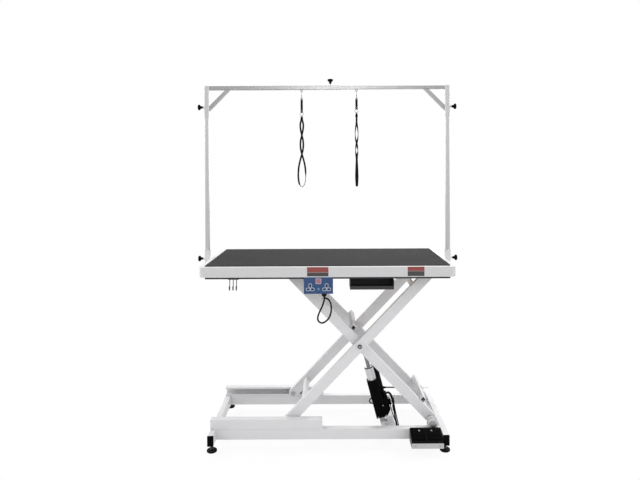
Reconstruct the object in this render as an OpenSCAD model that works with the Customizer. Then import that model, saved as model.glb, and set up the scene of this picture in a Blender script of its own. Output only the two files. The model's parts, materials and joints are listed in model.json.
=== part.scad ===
// Dog grooming table: a scissor lift on a levelled base, a matted top and an overhead arm.
// X runs along the table, Y from the front to the back and Z up.
// The origin is on the floor under the middle of the table.

/* [Table top] */
// Length of the table top
top_l = 1250; // [1200:10:1400]
// Depth of the table top
top_w = 650; // [620:10:720]
// Radius of the table top's corners
top_r = 32; // [10:1:60]
// Height of the steel edge frame
edge_h = 50; // [44:1:70]
// Width of the bare border round the mat
edge_w = 25; // [18:1:32]
// Sheet thickness of the edge frame
edge_wall = 2; // [1:0.5:3]
// Thickness of the board
board_t = 16; // [12:1:18]
// Thickness of the rubber mat
mat_t = 6; // [4:1:8]
// How far the mat stands above the border
mat_proud = 3; // [1:0.5:4]
// Height of the edge frame's underside above the upper pivots
edge_above_pivot = 3; // [0:0.5:8]
// Height of the recessed frame under the board
under_h = 43; // [30:1:46]
// Width of the recessed frame's tube
under_w = 25; // [16:1:30]

/* [Scissor lift] */
// Angle of the arms above the floor
lift_angle = 46; // [20:1:52]
// Length of an arm between its end pivots
arm_len = 1040; // [1000:5:1060]
// Height of the arm's tube
arm_h = 50; // [44:1:52]
// Width of the arm's tube
arm_w = 30; // [24:1:32]
// Wall of the arm's tube
arm_wall = 2.5; // [2:0.5:4]
// Gap between an outer and an inner arm
arm_gap = 3; // [2:0.5:5]
// Width over the outer faces of the outer arms
arm_span = 380; // [360:5:384]
// Diameter of the pivot pins and roller axles
pin_d = 16; // [12:1:18]
// Side of the square tubes that join two arms
cross_w = 25; // [20:1:30]
// Distance of the fixed pivots from the table's right end
pivot_inset = 103; // [96:1:120]
// Distance of the welded cross tubes from the centre pivot
cross_from_centre = 407; // [380:1:420]

/* [Base] */
// Length of the base
base_l = 1180; // [1170:2:1200]
// Width of the base over its end caps
base_w = 606; // [560:2:640]
// Height of the base's underside above the floor
foot_gap = 42; // [34:1:60]
// Height of the base's tubes
base_h = 51; // [45:1:60]
// Width of the cross tubes
base_tube_w = 30; // [26:1:40]
// Width of the long beams
beam_w = 40; // [36:1:50]
// Wall of the base's tubes
base_wall = 2.5; // [2:0.5:4]
// Height of a roller rail
rail_h = 48; // [44:1:56]
// Wall of a roller rail
rail_wall = 4; // [3:0.5:5]
// Length of a roller rail
rail_l = 560; // [500:1:600]
// Diameter of a levelling foot
foot_d = 50; // [40:1:60]
// Thickness of a levelling foot
foot_t = 15; // [10:1:18]
// Distance of the feet from the ends of the cross tubes
foot_inset = 39; // [30:1:60]

/* [Actuator] */
// Distance of the actuator from the middle of the table
act_y = 80; // [70:1:88]
// Distance of the actuator's lower pin from the fixed pivots
act_inset = 233; // [222:1:250]
// Height of the actuator's lower pin
act_z = 60; // [56:1:70]
// Distance of the upper pin along the inner arm from its centre
ear_along = 30; // [20:1:40]
// Height of the upper pin above the inner arm's middle
ear_up = 33; // [31:1:36]
// Length of the actuator's outer tube from the lower pin
act_tube_l = 303; // [280:1:310]
// Width of the actuator's outer tube
act_tube_d = 46; // [40:1:48]
// Diameter of the actuator's rod
act_rod_d = 20; // [16:1:24]

/* [Foot pedal] */
// Width of the foot pedal
pedal_w = 155; // [130:1:156]
// Distance of the foot pedal's middle from the base's right end
pedal_inset = 109; // [109:1:150]
// Height of the foot pedal's back
pedal_h = 67; // [60:1:75]
// Height of the foot pedal's underside above the floor
pedal_lift = 38; // [30:1:42]
// Thickness of the foot pedal's bright front strip
pedal_trim_t = 2; // [1:0.5:3]

/* [Grooming arm] */
// Height of the overhead bar's top above the floor
arm_top = 1842; // [1700:1:1900]
// Side of the posts
post_w = 22; // [20:0.5:24]
// Wall of the posts
post_wall = 1.5; // [1:0.25:2]
// Height of the posts' top ends above the floor
post_top = 1770; // [1760:1:1780]
// Side of the sockets that hold the posts
socket_w = 28; // [27:0.5:32]
// Length of the sockets
socket_l = 98; // [80:1:110]
// Height of the sockets above the mat
socket_rise = 37; // [30:1:45]
// Thickness of the plates between sockets and table
socket_plate_t = 9; // [6:0.5:12]
// Side of the corner sleeves
sleeve_w = 26; // [25.5:0.5:30]
// Length of the corner sleeves
sleeve_l = 169; // [160:1:190]
// Side of the overhead bar's outer tube
bar_w = 22; // [21:0.5:25]
// Side of the overhead bar's inner tube
bar_in_w = 19; // [17:0.5:19.5]
// Place of the outer tube's free end along the table
bar_split = 71; // [60:1:110]
// Side of the diagonal braces
brace_w = 20; // [16:1:22]
// Drop of the braces below the overhead bar
brace_drop = 100; // [90:1:115]
// Diameter of the clamp knobs
knob_d = 30; // [24:1:34]
// Length of the clamp knobs
knob_l = 26; // [20:1:30]
// Place of the left leash along the table
leash_left_x = -137; // [-200:1:-100]
// Place of the right leash along the table
leash_right_x = 159; // [120:1:200]

/* [Fittings] */
// Width of the tool tray
tray_w = 213; // [180:1:240]
// Left end of the tool tray
tray_x = 108; // [90:1:130]
// Depth of the tool tray
tray_depth = 126; // [100:1:128]
// Height of the tool tray
tray_h = 49; // [40:1:60]
// Height of the tool tray's front lip
tray_lip = 17; // [10:1:25]
// Width of the socket plate
plate_w = 141; // [130:1:146]
// Height of the socket plate
plate_h = 80; // [78:1:90]
// Left edge of the socket plate
plate_x = -115; // [-116:1:-105]
// Distance between the two outlets
outlet_pitch = 79; // [70:1:80]
// Length of the hook rack
rack_l = 52; // [48:1:80]
// Distance of the hook rack from the table's left end
rack_inset = 140; // [105:1:185]

/* [Hidden] */
$fn = 32;
// Clearance round a pin that turns, and between a piece that slides and its guide
run_fit = 0.05;
slide_fit = 0.1;
// Clearance between pieces that pass each other
pass = 0.3;
// Corner radius of the rolled tubes
tube_r = 3;

beam_y = arm_span / 2 + 3 + beam_w / 2;
base_top = foot_gap + base_h;
base_tube_x = base_l / 2 - base_tube_w / 2;
beam_end = base_l / 2 - base_tube_w;
low_pivot_z = base_top + rail_h / 2;
pivot_x = top_l / 2 - pivot_inset;
rise = arm_len * sin(lift_angle);
reach = arm_len * cos(lift_angle);
top_pivot_z = low_pivot_z + rise;
roller_x = pivot_x - reach;
centre_x = pivot_x - reach / 2;
centre_z = low_pivot_z + rise / 2;
outer_y = arm_span / 2 - arm_w / 2;
inner_y = outer_y - arm_w - arm_gap;
outer_in = outer_y - arm_w / 2;
inner_out = inner_y + arm_w / 2;
inner_in = inner_y - arm_w / 2;
bush_d = pin_d + 12;
shaft_d = pin_d + 4;
head_t = 8;
rail_x = -base_l / 2;
rail_depth = beam_w;
roller_r = rail_h / 2 - rail_wall - pass;
roller_w = 26;
lip = 6;

edge_z = top_pivot_z + edge_above_pivot;
edge_top = edge_z + edge_h;
mat_top = edge_top + mat_proud;
board_z = mat_top - mat_t - board_t;
under_z = board_z - under_h;
mat_l = top_l - 2 * edge_w;
mat_w = top_w - 2 * edge_w;
hanger_t = 6;
hanger_w = 50;
upper_rail_top = top_pivot_z + rail_h / 2;
upper_rail_x = -mat_l / 2 + under_w + pass;
upper_rail_l = rail_x + rail_l - upper_rail_x;

pedal_back = beam_y + beam_w / 2 + 4;
pedal_x = base_l / 2 - pedal_inset;
pedal_front_h = 25;

post_x = top_l / 2 + socket_plate_t + socket_w / 2;
socket_top = mat_top + socket_rise;
socket_z = socket_top - socket_l;
low_knob_z = socket_top - 46;
high_knob_z = arm_top - 114;
sleeve_z = arm_top - sleeve_l;
bar_z = arm_top - bar_w / 2;
top_knob_x = bar_split - 53;
bar_lap = 220;
screw_d = 8;
boss_t = 6;
boss_d = 15;
knob_gap = 4;

act_x = pivot_x - act_inset;
act_eye = ear_point(0);
act_angle = atan2(act_eye[1] - act_z, act_eye[0] - act_x);
act_len = norm([act_eye[0] - act_x, act_eye[1] - act_z]);
eye_t = 12;
ear_t = 5;
ear_gap = act_rod_d / 2 + 1;
act_tube_start = 85;
gearbox_x = 36;
gearbox_end = 234;
rod_l = 240;
lead_tilt = 14.8;

// Cable from the gearbox into the front beam, counted from the actuator's lower pin
cable_d = 7;
cable_route = [[12, 0, 140], [12, 0, 146], [15, 0, 151], [22, 0, 154], [30, 0, 152], [37, -1, 145],
    [42, -4, 134], [46, -8, 120], [49, -14, 104], [52, -23, 87], [54, -35, 68], [56, -50, 51],
    [59, -67, 36], [61, -84, 25], [63, -100, 19], [64, -113, 17]];
cable_end = cable_route[len(cable_route) - 1] + [act_x, -act_y, act_z];
// Cord of the socket box, from its gland round a loop and up behind the box to the board.
// Counted from the table's front and the underside of its edge.
cord_d = 7;
cord_route = [[-17, 24, -98], [-17, 24, -108], [-19, 24, -122], [-24, 24, -138], [-31, 24, -155],
    [-39, 24, -171], [-45, 25, -186], [-49, 26, -202], [-46, 27, -217], [-36, 28, -226], [-23, 29, -227],
    [-10, 30, -220], [2, 31, -209], [10, 33, -195], [15, 35, -179], [17, 37, -161], [16, 39, -144],
    [12, 41, -130], [5, 44, -119], [-3, 48, -114], [-11, 54, -113], [-16, 61, -108], [-18, 67, -97],
    [-18, 69, -84], [-17, 69, -67], [-16, 69, -47], [-16, 69, -25], [-16, 69, 0],
    [-16, 69, edge_h + mat_proud - mat_t - board_t]];
// One side of each leash loop, from the ring down to the middle of the bottom
leash_left_route = [[2, 0, -2.2], [5, 1, -20], [8, 3, -48], [6, 5, -74], [0, 6, -102], [-6, 5, -128],
    [-8, 2, -152], [-6, -5, -178], [0, -7, -204], [8, -6, -232], [15, -3, -262], [19, 0, -294],
    [20, 0, -328], [16, 0, -360], [9, 0, -376], [0, 0, -381]];
leash_right_route = [[0, 2, -2.2], [0, 3, -20], [0, 4, -44], [2, 4, -62], [6, 3, -86], [8, 0, -112],
    [6, -4, -138], [1, -6, -160], [-4, -4, -182], [-6, 1, -206], [-3, 6, -228], [0, 10, -250],
    [0, 15, -276], [0, 19, -306], [0, 20, -340], [0, 15, -374], [0, 8, -391], [0, 0, -396]];

rocker_pin_r = 1.5;
rocker_w = 22;
rocker_h = 20;
rocker_in = 8;
rocker_z = edge_z - 19;
eyelet_r = 6;
eyelet_wire = 1.5;
weld = 0.6;
snap_left_z = bar_z - bar_w / 2 + weld - 2 * eyelet_r - eyelet_wire / 2;
snap_right_z = bar_z - bar_in_w / 2 + weld - 2 * eyelet_r - eyelet_wire / 2;
snap_l = 36;
strap_l = 76;
strap_right_l = 61;
strap_w = 12;
strap_t = 4;
ring_r = 9;
web_w = 10;
web_t = 2.4;

// Shapes that several pieces share

module span(low, high) {
    translate(low) cube(high - low);
}

module round_rect(w, h, r) {
    square([w - 2 * r, h], center = true);
    square([w, h - 2 * r], center = true);
    for (x = [-1, 1], y = [-1, 1]) translate([x * (w / 2 - r), y * (h / 2 - r)]) circle(r);
}

module tube_section(w, h, wall) {
    difference() {
        round_rect(w, h, tube_r);
        square([w - 2 * wall, h - 2 * wall], center = true);
    }
}

module tube_x(len, w, h, wall) {
    rotate([90, 0, 90]) linear_extrude(len) tube_section(w, h, wall);
}

module tube_y(len, w, h, wall) {
    rotate([90, 0, 0]) translate([0, 0, -len / 2]) linear_extrude(len) tube_section(w, h, wall);
}

module tube_z(len, w, wall) {
    linear_extrude(len) tube_section(w, w, wall);
}

// A pin or bore along Y between two places
module rod_y(d, y0, y1) {
    translate([0, y1, 0]) rotate([90, 0, 0]) cylinder(d = d, h = y1 - y0);
}

module hex_y(across, y0, y1) {
    translate([0, y1, 0]) rotate([90, 0, 0]) cylinder(d = across / cos(30), h = y1 - y0, $fn = 6);
}

module front_and_rear() {
    children();
    mirror([0, 1, 0]) children();
}

// Turns a shape drawn along +X from a pivot on the floor side into the lie of an arm
module along_inner(x, z) {
    translate([x, 0, z]) rotate([0, lift_angle, 0]) mirror([1, 0, 0]) children();
}

module along_outer(x, z) {
    translate([x, 0, z]) rotate([0, -lift_angle, 0]) children();
}

// Base

module base_frame() {
    color([0.80, 0.80, 0.82]) difference() {
        union() {
            for (x = [-1, 1])
                translate([x * base_tube_x, 0, foot_gap + base_h / 2])
                    tube_y(base_w - 6, base_tube_w, base_h, base_wall);
            for (y = [-1, 1])
                translate([-beam_end, y * beam_y, foot_gap + base_h / 2])
                    tube_x(2 * beam_end, beam_w, base_h, base_wall);
        }
        for (x = [-1, 1], y = [-1, 1])
            translate([x * base_tube_x, y * (base_w / 2 - foot_inset), foot_gap - 1])
                cylinder(r = 6 + run_fit, h = base_wall + 2);
        translate([cable_end[0], -beam_y + beam_w / 2 - base_wall - 1, cable_end[2]])
            rod_y(cable_d + 2, 0, base_wall + 2);
    }
}

module base_end_caps() {
    color([0.07, 0.07, 0.07]) for (x = [-1, 1]) front_and_rear()
        translate([x * base_tube_x, -base_w / 2, foot_gap + base_h / 2]) {
            translate([0, 3, 0]) rotate([90, 0, 0])
                linear_extrude(3) round_rect(base_tube_w + 1, base_h + 1, tube_r);
            translate([0, 9, 0]) cube([base_tube_w - 2 * base_wall - 0.4, 12,
                base_h - 2 * base_wall - 0.4], center = true);
        }
}

module actuator_mount() {
    member_h = 28;
    member_x = act_x + 20;
    cheek = 18;
    lug_t = 6;
    guard = [[member_x, foot_gap], [member_x + 44, foot_gap], [member_x + 44, foot_gap + 18],
        [member_x + 14, base_top + 13], [member_x, base_top + 15]];
    color([0.80, 0.80, 0.82]) {
        translate([member_x + 18, 0, foot_gap + member_h / 2])
            tube_y(2 * beam_y - beam_w, 36, member_h, base_wall);
        for (side = [-1, 1]) translate([0, -act_y + side * (cheek + lug_t / 2) + lug_t / 2, 0])
            difference() {
                rotate([90, 0, 0]) linear_extrude(lug_t) {
                    translate([act_x, act_z]) circle(14);
                    translate([act_x, foot_gap]) square([member_x + 12 - act_x, act_z - foot_gap + 10]);
                }
                translate([act_x, 0, act_z]) rod_y(pin_d - 4, -lug_t - 1, 1);
            }
        translate([0, -act_y - 32, 0]) rotate([90, 0, 0]) linear_extrude(4) polygon(guard);
        translate([act_x, 0, act_z]) {
            rod_y(pin_d - 4, -act_y - cheek - lug_t - head_t, -act_y + cheek + lug_t + head_t);
            hex_y(pin_d + 2, -act_y - cheek - lug_t - head_t, -act_y - cheek - lug_t);
            hex_y(pin_d + 2, -act_y + cheek + lug_t, -act_y + cheek + lug_t + head_t);
        }
    }
}

module base_rails() {
    color([0.82, 0.82, 0.84]) front_and_rear()
        translate([rail_x, -beam_y, low_pivot_z]) rail(rail_l);
}

// A channel along X whose mouth faces the middle of the table
module rail(len) {
    inner = rail_h / 2 - rail_wall;
    difference() {
        translate([0, -rail_depth / 2, -rail_h / 2]) cube([len, rail_depth, rail_h]);
        translate([-1, -rail_depth / 2 + rail_wall, -inner])
            cube([len + 2, rail_depth - 2 * rail_wall, 2 * inner]);
        translate([-1, 0, -inner + lip])
            cube([len + 2, rail_depth, 2 * (inner - lip)]);
    }
}

module base_pivot_brackets() {
    h = low_pivot_z - base_top;
    color([0.80, 0.80, 0.82]) front_and_rear() difference() {
        union() {
            span([pivot_x - 24, -beam_y - beam_w / 2, base_top],
                [pivot_x + 24, -beam_y + beam_w / 2, base_top + 5]);
            for (y = [-beam_y - beam_w / 2 + 5, -beam_y + beam_w / 2])
                translate([pivot_x, y, base_top + 5]) rotate([90, 0, 0])
                    linear_extrude(5) {
                        translate([-24, 0]) square([48, h - 5]);
                        translate([0, h - 5]) circle(24);
                    }
        }
        translate([pivot_x, 0, low_pivot_z])
            rod_y(shaft_d + 2 * run_fit, -beam_y - beam_w / 2 - 1, -beam_y + beam_w / 2 + 1);
    }
}

module base_pivot_shaft() {
    outside = beam_y + beam_w / 2;
    color([0.55, 0.56, 0.58]) translate([pivot_x, 0, low_pivot_z]) {
        rod_y(shaft_d, -outside - head_t, outside + head_t);
        rod_y(shaft_d + 6, -inner_in + pass, inner_in - pass);
        front_and_rear() {
            rod_y(shaft_d + 6, -beam_y + beam_w / 2 + pass, -inner_out - pass);
            hex_y(shaft_d + 10, -outside - head_t, -outside - pass);
        }
    }
}

module foot(x, y) {
    color([0.10, 0.10, 0.10]) translate([x * base_tube_x, y * (base_w / 2 - foot_inset), 0]) {
        rotate_extrude() polygon([[0, 0], [foot_d / 2 - 2, 0], [foot_d / 2, 2],
            [foot_d / 2, foot_t - 6], [foot_d / 2 - 6, foot_t - 1], [10, foot_t], [0, foot_t]]);
        cylinder(r = 6, h = foot_gap + 18);
        translate([0, 0, foot_gap - 8 - pass]) cylinder(d = 20, h = 8, $fn = 6);
    }
}

// Foot pedal

module pedal_bracket() {
    color([0.12, 0.12, 0.12]) span([pedal_x - pedal_w / 2 + 20, -pedal_back, foot_gap + 4],
        [pedal_x + pedal_w / 2 - 20, -pedal_back + 4, base_top - 4]);
}

module pedal_side(inset) {
    front = top_w / 2 - pedal_trim_t;
    chamfer = 8;
    polygon([[-front + inset, pedal_lift + inset], [-pedal_back - inset, pedal_lift + inset],
        [-pedal_back - inset, pedal_lift + pedal_h - chamfer - inset],
        [-pedal_back - chamfer - inset, pedal_lift + pedal_h - inset],
        [-pedal_back - 20, pedal_lift + pedal_h - inset],
        [-front + inset + 4, pedal_lift + pedal_front_h + 6 - inset],
        [-front + inset, pedal_lift + pedal_front_h - inset]]);
}

// The pads lie on the housing's slope; their places are measured along it from its lower end
pad_low = [-top_w / 2 + pedal_trim_t + 12, pedal_lift + pedal_front_h + 11];
pad_high = [-pedal_back - 24, pedal_lift + pedal_h - 3];
pad_l = norm(pad_high - pad_low);
pad_slope = atan2(pad_high[1] - pad_low[1], pad_high[0] - pad_low[0]);
pad_w = pedal_w / 2 - 14;
pad_gap = 1;
pad_pin_r = 2;
pad_pin = [pad_l - 5, -5];

module on_slope() {
    translate(pad_low) rotate(pad_slope) children();
}

module across_pedal(x, w) {
    translate([x - w / 2, 0, 0]) rotate([90, 0, 90]) linear_extrude(w) children();
}

module pedal_housing() {
    color([0.09, 0.09, 0.09]) difference() {
        union() {
            difference() {
                across_pedal(pedal_x, pedal_w) pedal_side(0);
                across_pedal(pedal_x, pedal_w - 6) pedal_side(3);
                for (side = [-1, 1]) across_pedal(pedal_x + side * pedal_w / 4, pad_w + 2 * pad_gap)
                    on_slope() translate([-pad_gap, -9]) square([pad_l + 2 * pad_gap, 14]);
            }
            for (side = [-1, 1], end = [-1, 1])
                across_pedal(pedal_x + side * pedal_w / 4 + end * (pad_w / 2 + pad_gap + 2.5), 5)
                    on_slope() translate([pad_l - 11, -11]) square([12, 10]);
        }
        across_pedal(pedal_x, pedal_w - 2.6) on_slope() translate(pad_pin)
            circle(pad_pin_r + run_fit);
    }
}

module pedal_pad(side) {
    color([0.14, 0.14, 0.14]) {
        across_pedal(pedal_x + side * pedal_w / 4, pad_w)
            on_slope() translate([0, -8]) square([pad_l, 12]);
        across_pedal(pedal_x + side * pedal_w / 4, pad_w + 2 * pad_gap + 9)
            on_slope() translate(pad_pin) circle(pad_pin_r);
    }
}

module pedal_trim() {
    color([0.75, 0.75, 0.76]) {
        span([pedal_x - pedal_w / 2, -top_w / 2, pedal_lift],
            [pedal_x + pedal_w / 2, -top_w / 2 + pedal_trim_t, pedal_lift + pedal_front_h]);
    }
}

// Scissor arms

// A round-ended tube with a steel bush at each bore; bores lists place, height, diameter
module arm_bar(y, bores) {
    difference() {
        union() {
            difference() {
                union() {
                    translate([0, y - arm_w / 2, -arm_h / 2]) cube([arm_len, arm_w, arm_h]);
                    for (x = [0, arm_len])
                        translate([x, 0, 0]) rod_y(arm_h, y - arm_w / 2, y + arm_w / 2);
                }
                translate([arm_h / 2, y - arm_w / 2 + arm_wall, -arm_h / 2 + arm_wall])
                    cube([arm_len - arm_h, arm_w - 2 * arm_wall, arm_h - 2 * arm_wall]);
            }
            for (b = bores) translate([b[0], 0, 0]) rod_y(bush_d, y - arm_w / 2, y + arm_w / 2);
        }
        for (b = bores) translate([b[0], 0, 0])
            rod_y(b[1] + 2 * run_fit, y - arm_w / 2 - 1, y + arm_w / 2 + 1);
    }
}

module inner_arm(side) {
    color([0.84, 0.84, 0.86]) along_inner(pivot_x, low_pivot_z)
        arm_bar(side * inner_y, [[0, shaft_d], [arm_len / 2, pin_d], [arm_len, pin_d]]);
}

module outer_arm(side) {
    color([0.84, 0.84, 0.86]) along_outer(roller_x, low_pivot_z)
        arm_bar(side * outer_y, [[0, pin_d], [arm_len / 2, pin_d], [arm_len, pin_d]]);
}

module inner_cross_tubes() {
    on_top = arm_h / 2 + cross_w / 2;
    color([0.80, 0.80, 0.82]) along_inner(pivot_x, low_pivot_z) {
        for (x = [90, arm_len / 2 + ear_along + 52]) translate([x, 0, on_top])
            tube_y(2 * inner_out, cross_w, cross_w, arm_wall);
        translate([arm_len / 2 + cross_from_centre, 0, 0])
            tube_y(2 * inner_in, cross_w, cross_w, arm_wall);
    }
}

// Place of a point along the inner arm from the upper pin, in the X and Z of the table
function ear_point(extra) = [
    pivot_x - (arm_len / 2 + ear_along + extra) * cos(lift_angle) + ear_up * sin(lift_angle),
    low_pivot_z + (arm_len / 2 + ear_along + extra) * sin(lift_angle) + ear_up * cos(lift_angle)];

module actuator_ears() {
    tube_face = ear_along + 52 - cross_w / 2;
    color([0.80, 0.80, 0.82]) along_inner(pivot_x, low_pivot_z)
        for (side = [-1, 1])
            translate([arm_len / 2, -act_y + side * (ear_gap + ear_t / 2) + ear_t / 2, 0])
                rotate([90, 0, 0]) linear_extrude(ear_t) {
                    translate([ear_along, ear_up]) circle(22);
                    translate([ear_along, ear_up - 18])
                        square([tube_face - ear_along, 40]);
                    translate([tube_face - 1, arm_h / 2 + cross_w])
                        square([cross_w + 1, 3]);
                }
}

module centre_pins() {
    color([0.25, 0.25, 0.26]) translate([centre_x, 0, centre_z]) front_and_rear() {
        rod_y(pin_d, -outer_y - arm_w / 2 - head_t, -inner_in + head_t);
        rod_y(pin_d + 10, -outer_in + pass, -inner_out - pass);
        hex_y(pin_d + 3, -outer_y - arm_w / 2 - head_t, -outer_y - arm_w / 2 - pass);
        hex_y(pin_d + 8, -inner_in, -inner_in + head_t);
    }
}

module outer_cross_tubes() {
    color([0.80, 0.80, 0.82]) along_outer(roller_x, low_pivot_z)
        for (x = [arm_len / 2 - cross_from_centre, arm_len / 2 + cross_from_centre])
            translate([x, 0, 0]) tube_y(2 * outer_in, cross_w, cross_w, arm_wall);
}

// A wheel in its rail and the axle that turns in the arm's bush
module roller(rail_y, arm_y) {
    wheel_y = rail_y - roller_w / 2;
    rod_y(2 * roller_r, -rail_y - roller_w / 2, -wheel_y);
    rod_y(pin_d, -rail_y, -arm_y + arm_w / 2 + head_t);
    rod_y(pin_d + 8, -arm_y + arm_w / 2 + pass, -arm_y + arm_w / 2 + head_t);
}

module lower_rollers() {
    color([0.30, 0.30, 0.32]) translate([roller_x, 0, low_pivot_z]) front_and_rear()
        roller(beam_y, outer_y);
}

module upper_rollers() {
    color([0.30, 0.30, 0.32]) translate([roller_x, 0, top_pivot_z]) front_and_rear()
        roller(upper_rail_y(), inner_y);
}

function upper_rail_y() = outer_in + rail_depth / 2;

// Actuator

// Draws along +X from the lower pin, with +Z on the actuator's upper right side
module along_actuator() {
    translate([act_x, -act_y, act_z]) rotate([0, -act_angle, 0]) mirror([0, 0, 1]) children();
}

module actuator_gearbox() {
    side = [[gearbox_x, -28], [gearbox_x, 26], [50, 42], [66, 54], [130, 54], [130, 28],
        [gearbox_end, 28], [gearbox_end, -28]];
    color([0.06, 0.06, 0.06]) along_actuator() difference() {
        union() {
            rod_y(28, -17, 17);
            translate([0, -17, -14]) cube([gearbox_x + 2, 34, 28]);
            intersection() {
                translate([0, 70, 0]) rotate([90, 0, 0]) linear_extrude(96) polygon(side);
                union() {
                    span([gearbox_x, -26, -28], [130, 70, 54]);
                    span([129, -26, -28], [gearbox_end, 26, 28]);
                }
            }
        }
        rod_y(pin_d - 4 + 2 * run_fit, -20, 20);
        translate([act_tube_start, 0, 0]) rotate([0, 90, 0]) cylinder(d = act_tube_d, h = 222);
    }
}

module actuator_motor() {
    color([0.05, 0.05, 0.05]) {
        along_actuator() translate([130, 48, 27]) rotate([0, 90, 0]) {
            cylinder(d = 40, h = 156);
            translate([0, 0, 156]) cylinder(d = 30, h = 6);
        }
        along_lead() translate([0, 0, -24]) cylinder(d = 12, h = 24);
    }
}

module actuator_tube() {
    grooves = 8;
    color([0.72, 0.73, 0.75]) along_actuator() rotate([0, 90, 0]) difference() {
        union() {
            difference() {
                translate([0, 0, act_tube_start])
                    cylinder(d = act_tube_d, h = act_tube_l - act_tube_start - 4);
                for (i = [0 : grooves - 1]) rotate(i * 360 / grooves + 22.5)
                    translate([act_tube_d / 2 + 1, 0, gearbox_end + 1])
                        cylinder(r = 4, h = act_tube_l);
            }
            translate([0, 0, act_tube_l - 4]) cylinder(d = act_tube_d, h = 4);
        }
        translate([0, 0, act_tube_start + 6])
            cylinder(r = act_rod_d / 2 + slide_fit, h = act_tube_l);
    }
}

module actuator_rod() {
    color([0.78, 0.79, 0.80]) along_actuator() {
        translate([act_len - rod_l, 0, 0]) rotate([0, 90, 0])
            cylinder(d = act_rod_d, h = rod_l - 15);
        difference() {
            union() {
                translate([act_len, 0, 0]) rod_y(30, -eye_t / 2, eye_t / 2);
                span([act_len - 24, -eye_t / 2, -8], [act_len, eye_t / 2, 8]);
            }
            translate([act_len, 0, 0]) rod_y(pin_d - 4, -eye_t, eye_t);
        }
        translate([act_len, 0, 0]) rod_y(pin_d - 4, -ear_gap + pass, ear_gap - pass);
    }
}

// Draws along +Z from the motor's lead
module along_lead() {
    along_actuator() translate([155.9, 48, 51.7]) rotate([0, -lead_tilt, 0]) children();
}

// The loop of wire on the gearbox's left and the short lead with its connector on the right
module actuator_leads() {
    color([0.05, 0.05, 0.05]) along_actuator() {
        translate([118, 0, -28]) rotate([90, 0, 0]) rotate([0, 0, 180])
            rotate_extrude(angle = 180) translate([13, 0]) circle(2.5);
    }
    color([0.05, 0.05, 0.05]) along_lead() {
        cylinder(d = 5, h = 50);
        translate([0, 0, 50]) cylinder(d = 8, h = 20);
    }
}

// Unit direction of a route at point i
function heading(p, i) =
    let (a = p[max(i - 1, 0)], b = p[min(i + 1, len(p) - 1)]) (b - a) / norm(b - a);

// Sections round a route: each ring is a list of points about p[i] with half sizes a and b
function ring_at(p, i, side, a, b, n) =
    let (t = heading(p, i), u = cross(t, side), v = u / norm(u), w = cross(v, t))
    [for (k = [0 : n - 1]) p[i] + a * cos(k * 360 / n) * v + b * sin(k * 360 / n) * w];

// Joins rings of n points into one closed solid
module skin(rings, n) {
    m = len(rings);
    pts = [for (r = rings) each r];
    sides = [for (i = [0 : m - 2], k = [0 : n - 1])
        each [[i * n + k, i * n + (k + 1) % n, (i + 1) * n + k],
            [i * n + (k + 1) % n, (i + 1) * n + (k + 1) % n, (i + 1) * n + k]]];
    first = [for (k = [1 : n - 2]) [0, k + 1, k]];
    last = [for (k = [1 : n - 2]) [(m - 1) * n, (m - 1) * n + k, (m - 1) * n + k + 1]];
    polyhedron(pts, concat(sides, first, last));
}

module cable(route, d, side) {
    n = 8;
    skin([for (i = [0 : len(route) - 1]) ring_at(route, i, side, d / 2, d / 2, n)], n);
}

module actuator_cable() {
    color([0.04, 0.04, 0.04]) translate([act_x, -act_y, act_z])
        cable(cable_route, cable_d, [0, 0.3, 1]);
}

// Table

module table_edge() {
    color([0.86, 0.86, 0.87]) translate([0, 0, edge_z]) difference() {
        linear_extrude(edge_h) round_rect(top_l, top_w, top_r);
        translate([0, 0, -1]) linear_extrude(edge_h + 2) round_rect(mat_l, mat_w, 8);
        translate([0, 0, edge_wall]) linear_extrude(edge_h - 2 * edge_wall) difference() {
            round_rect(top_l - 2 * edge_wall, top_w - 2 * edge_wall, top_r - edge_wall);
            round_rect(mat_l + 2 * edge_wall, mat_w + 2 * edge_wall, 8);
        }
    }
}

module table_board() {
    color([0.62, 0.48, 0.33]) translate([0, 0, board_z])
        linear_extrude(board_t) round_rect(mat_l, mat_w, 8);
}

module table_mat() {
    color([0.27, 0.27, 0.27]) translate([0, 0, board_z + board_t])
        linear_extrude(mat_t) round_rect(mat_l, mat_w, 8);
}

module table_underframe() {
    color([0.16, 0.16, 0.17]) {
        translate([0, 0, under_z]) difference() {
            linear_extrude(under_h) round_rect(mat_l, mat_w, 8);
            translate([0, 0, -1]) linear_extrude(under_h + 2)
                square([mat_l - 2 * under_w, mat_w - 2 * under_w], center = true);
            translate([0, 0, base_wall]) linear_extrude(under_h - 2 * base_wall) difference() {
                square([mat_l - 2 * base_wall, mat_w - 2 * base_wall], center = true);
                square([mat_l - 2 * under_w + 2 * base_wall,
                    mat_w - 2 * under_w + 2 * base_wall], center = true);
            }
        }
        for (x = hanger_places()) span([x, -mat_w / 2 + under_w, board_z - hanger_t],
            [x + hanger_w, mat_w / 2 - under_w, board_z]);
    }
}

function hanger_places() = [upper_rail_x, upper_rail_x + upper_rail_l / 2 - hanger_w / 2,
    upper_rail_x + upper_rail_l - hanger_w];

module table_rails() {
    color([0.30, 0.30, 0.32]) front_and_rear() {
        translate([upper_rail_x, -upper_rail_y(), top_pivot_z]) rail(upper_rail_l);
        for (x = hanger_places())
            span([x, -upper_rail_y() - rail_depth / 2, upper_rail_top],
                [x + hanger_w, -upper_rail_y() + rail_depth / 2, board_z - hanger_t]);
    }
}

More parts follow.
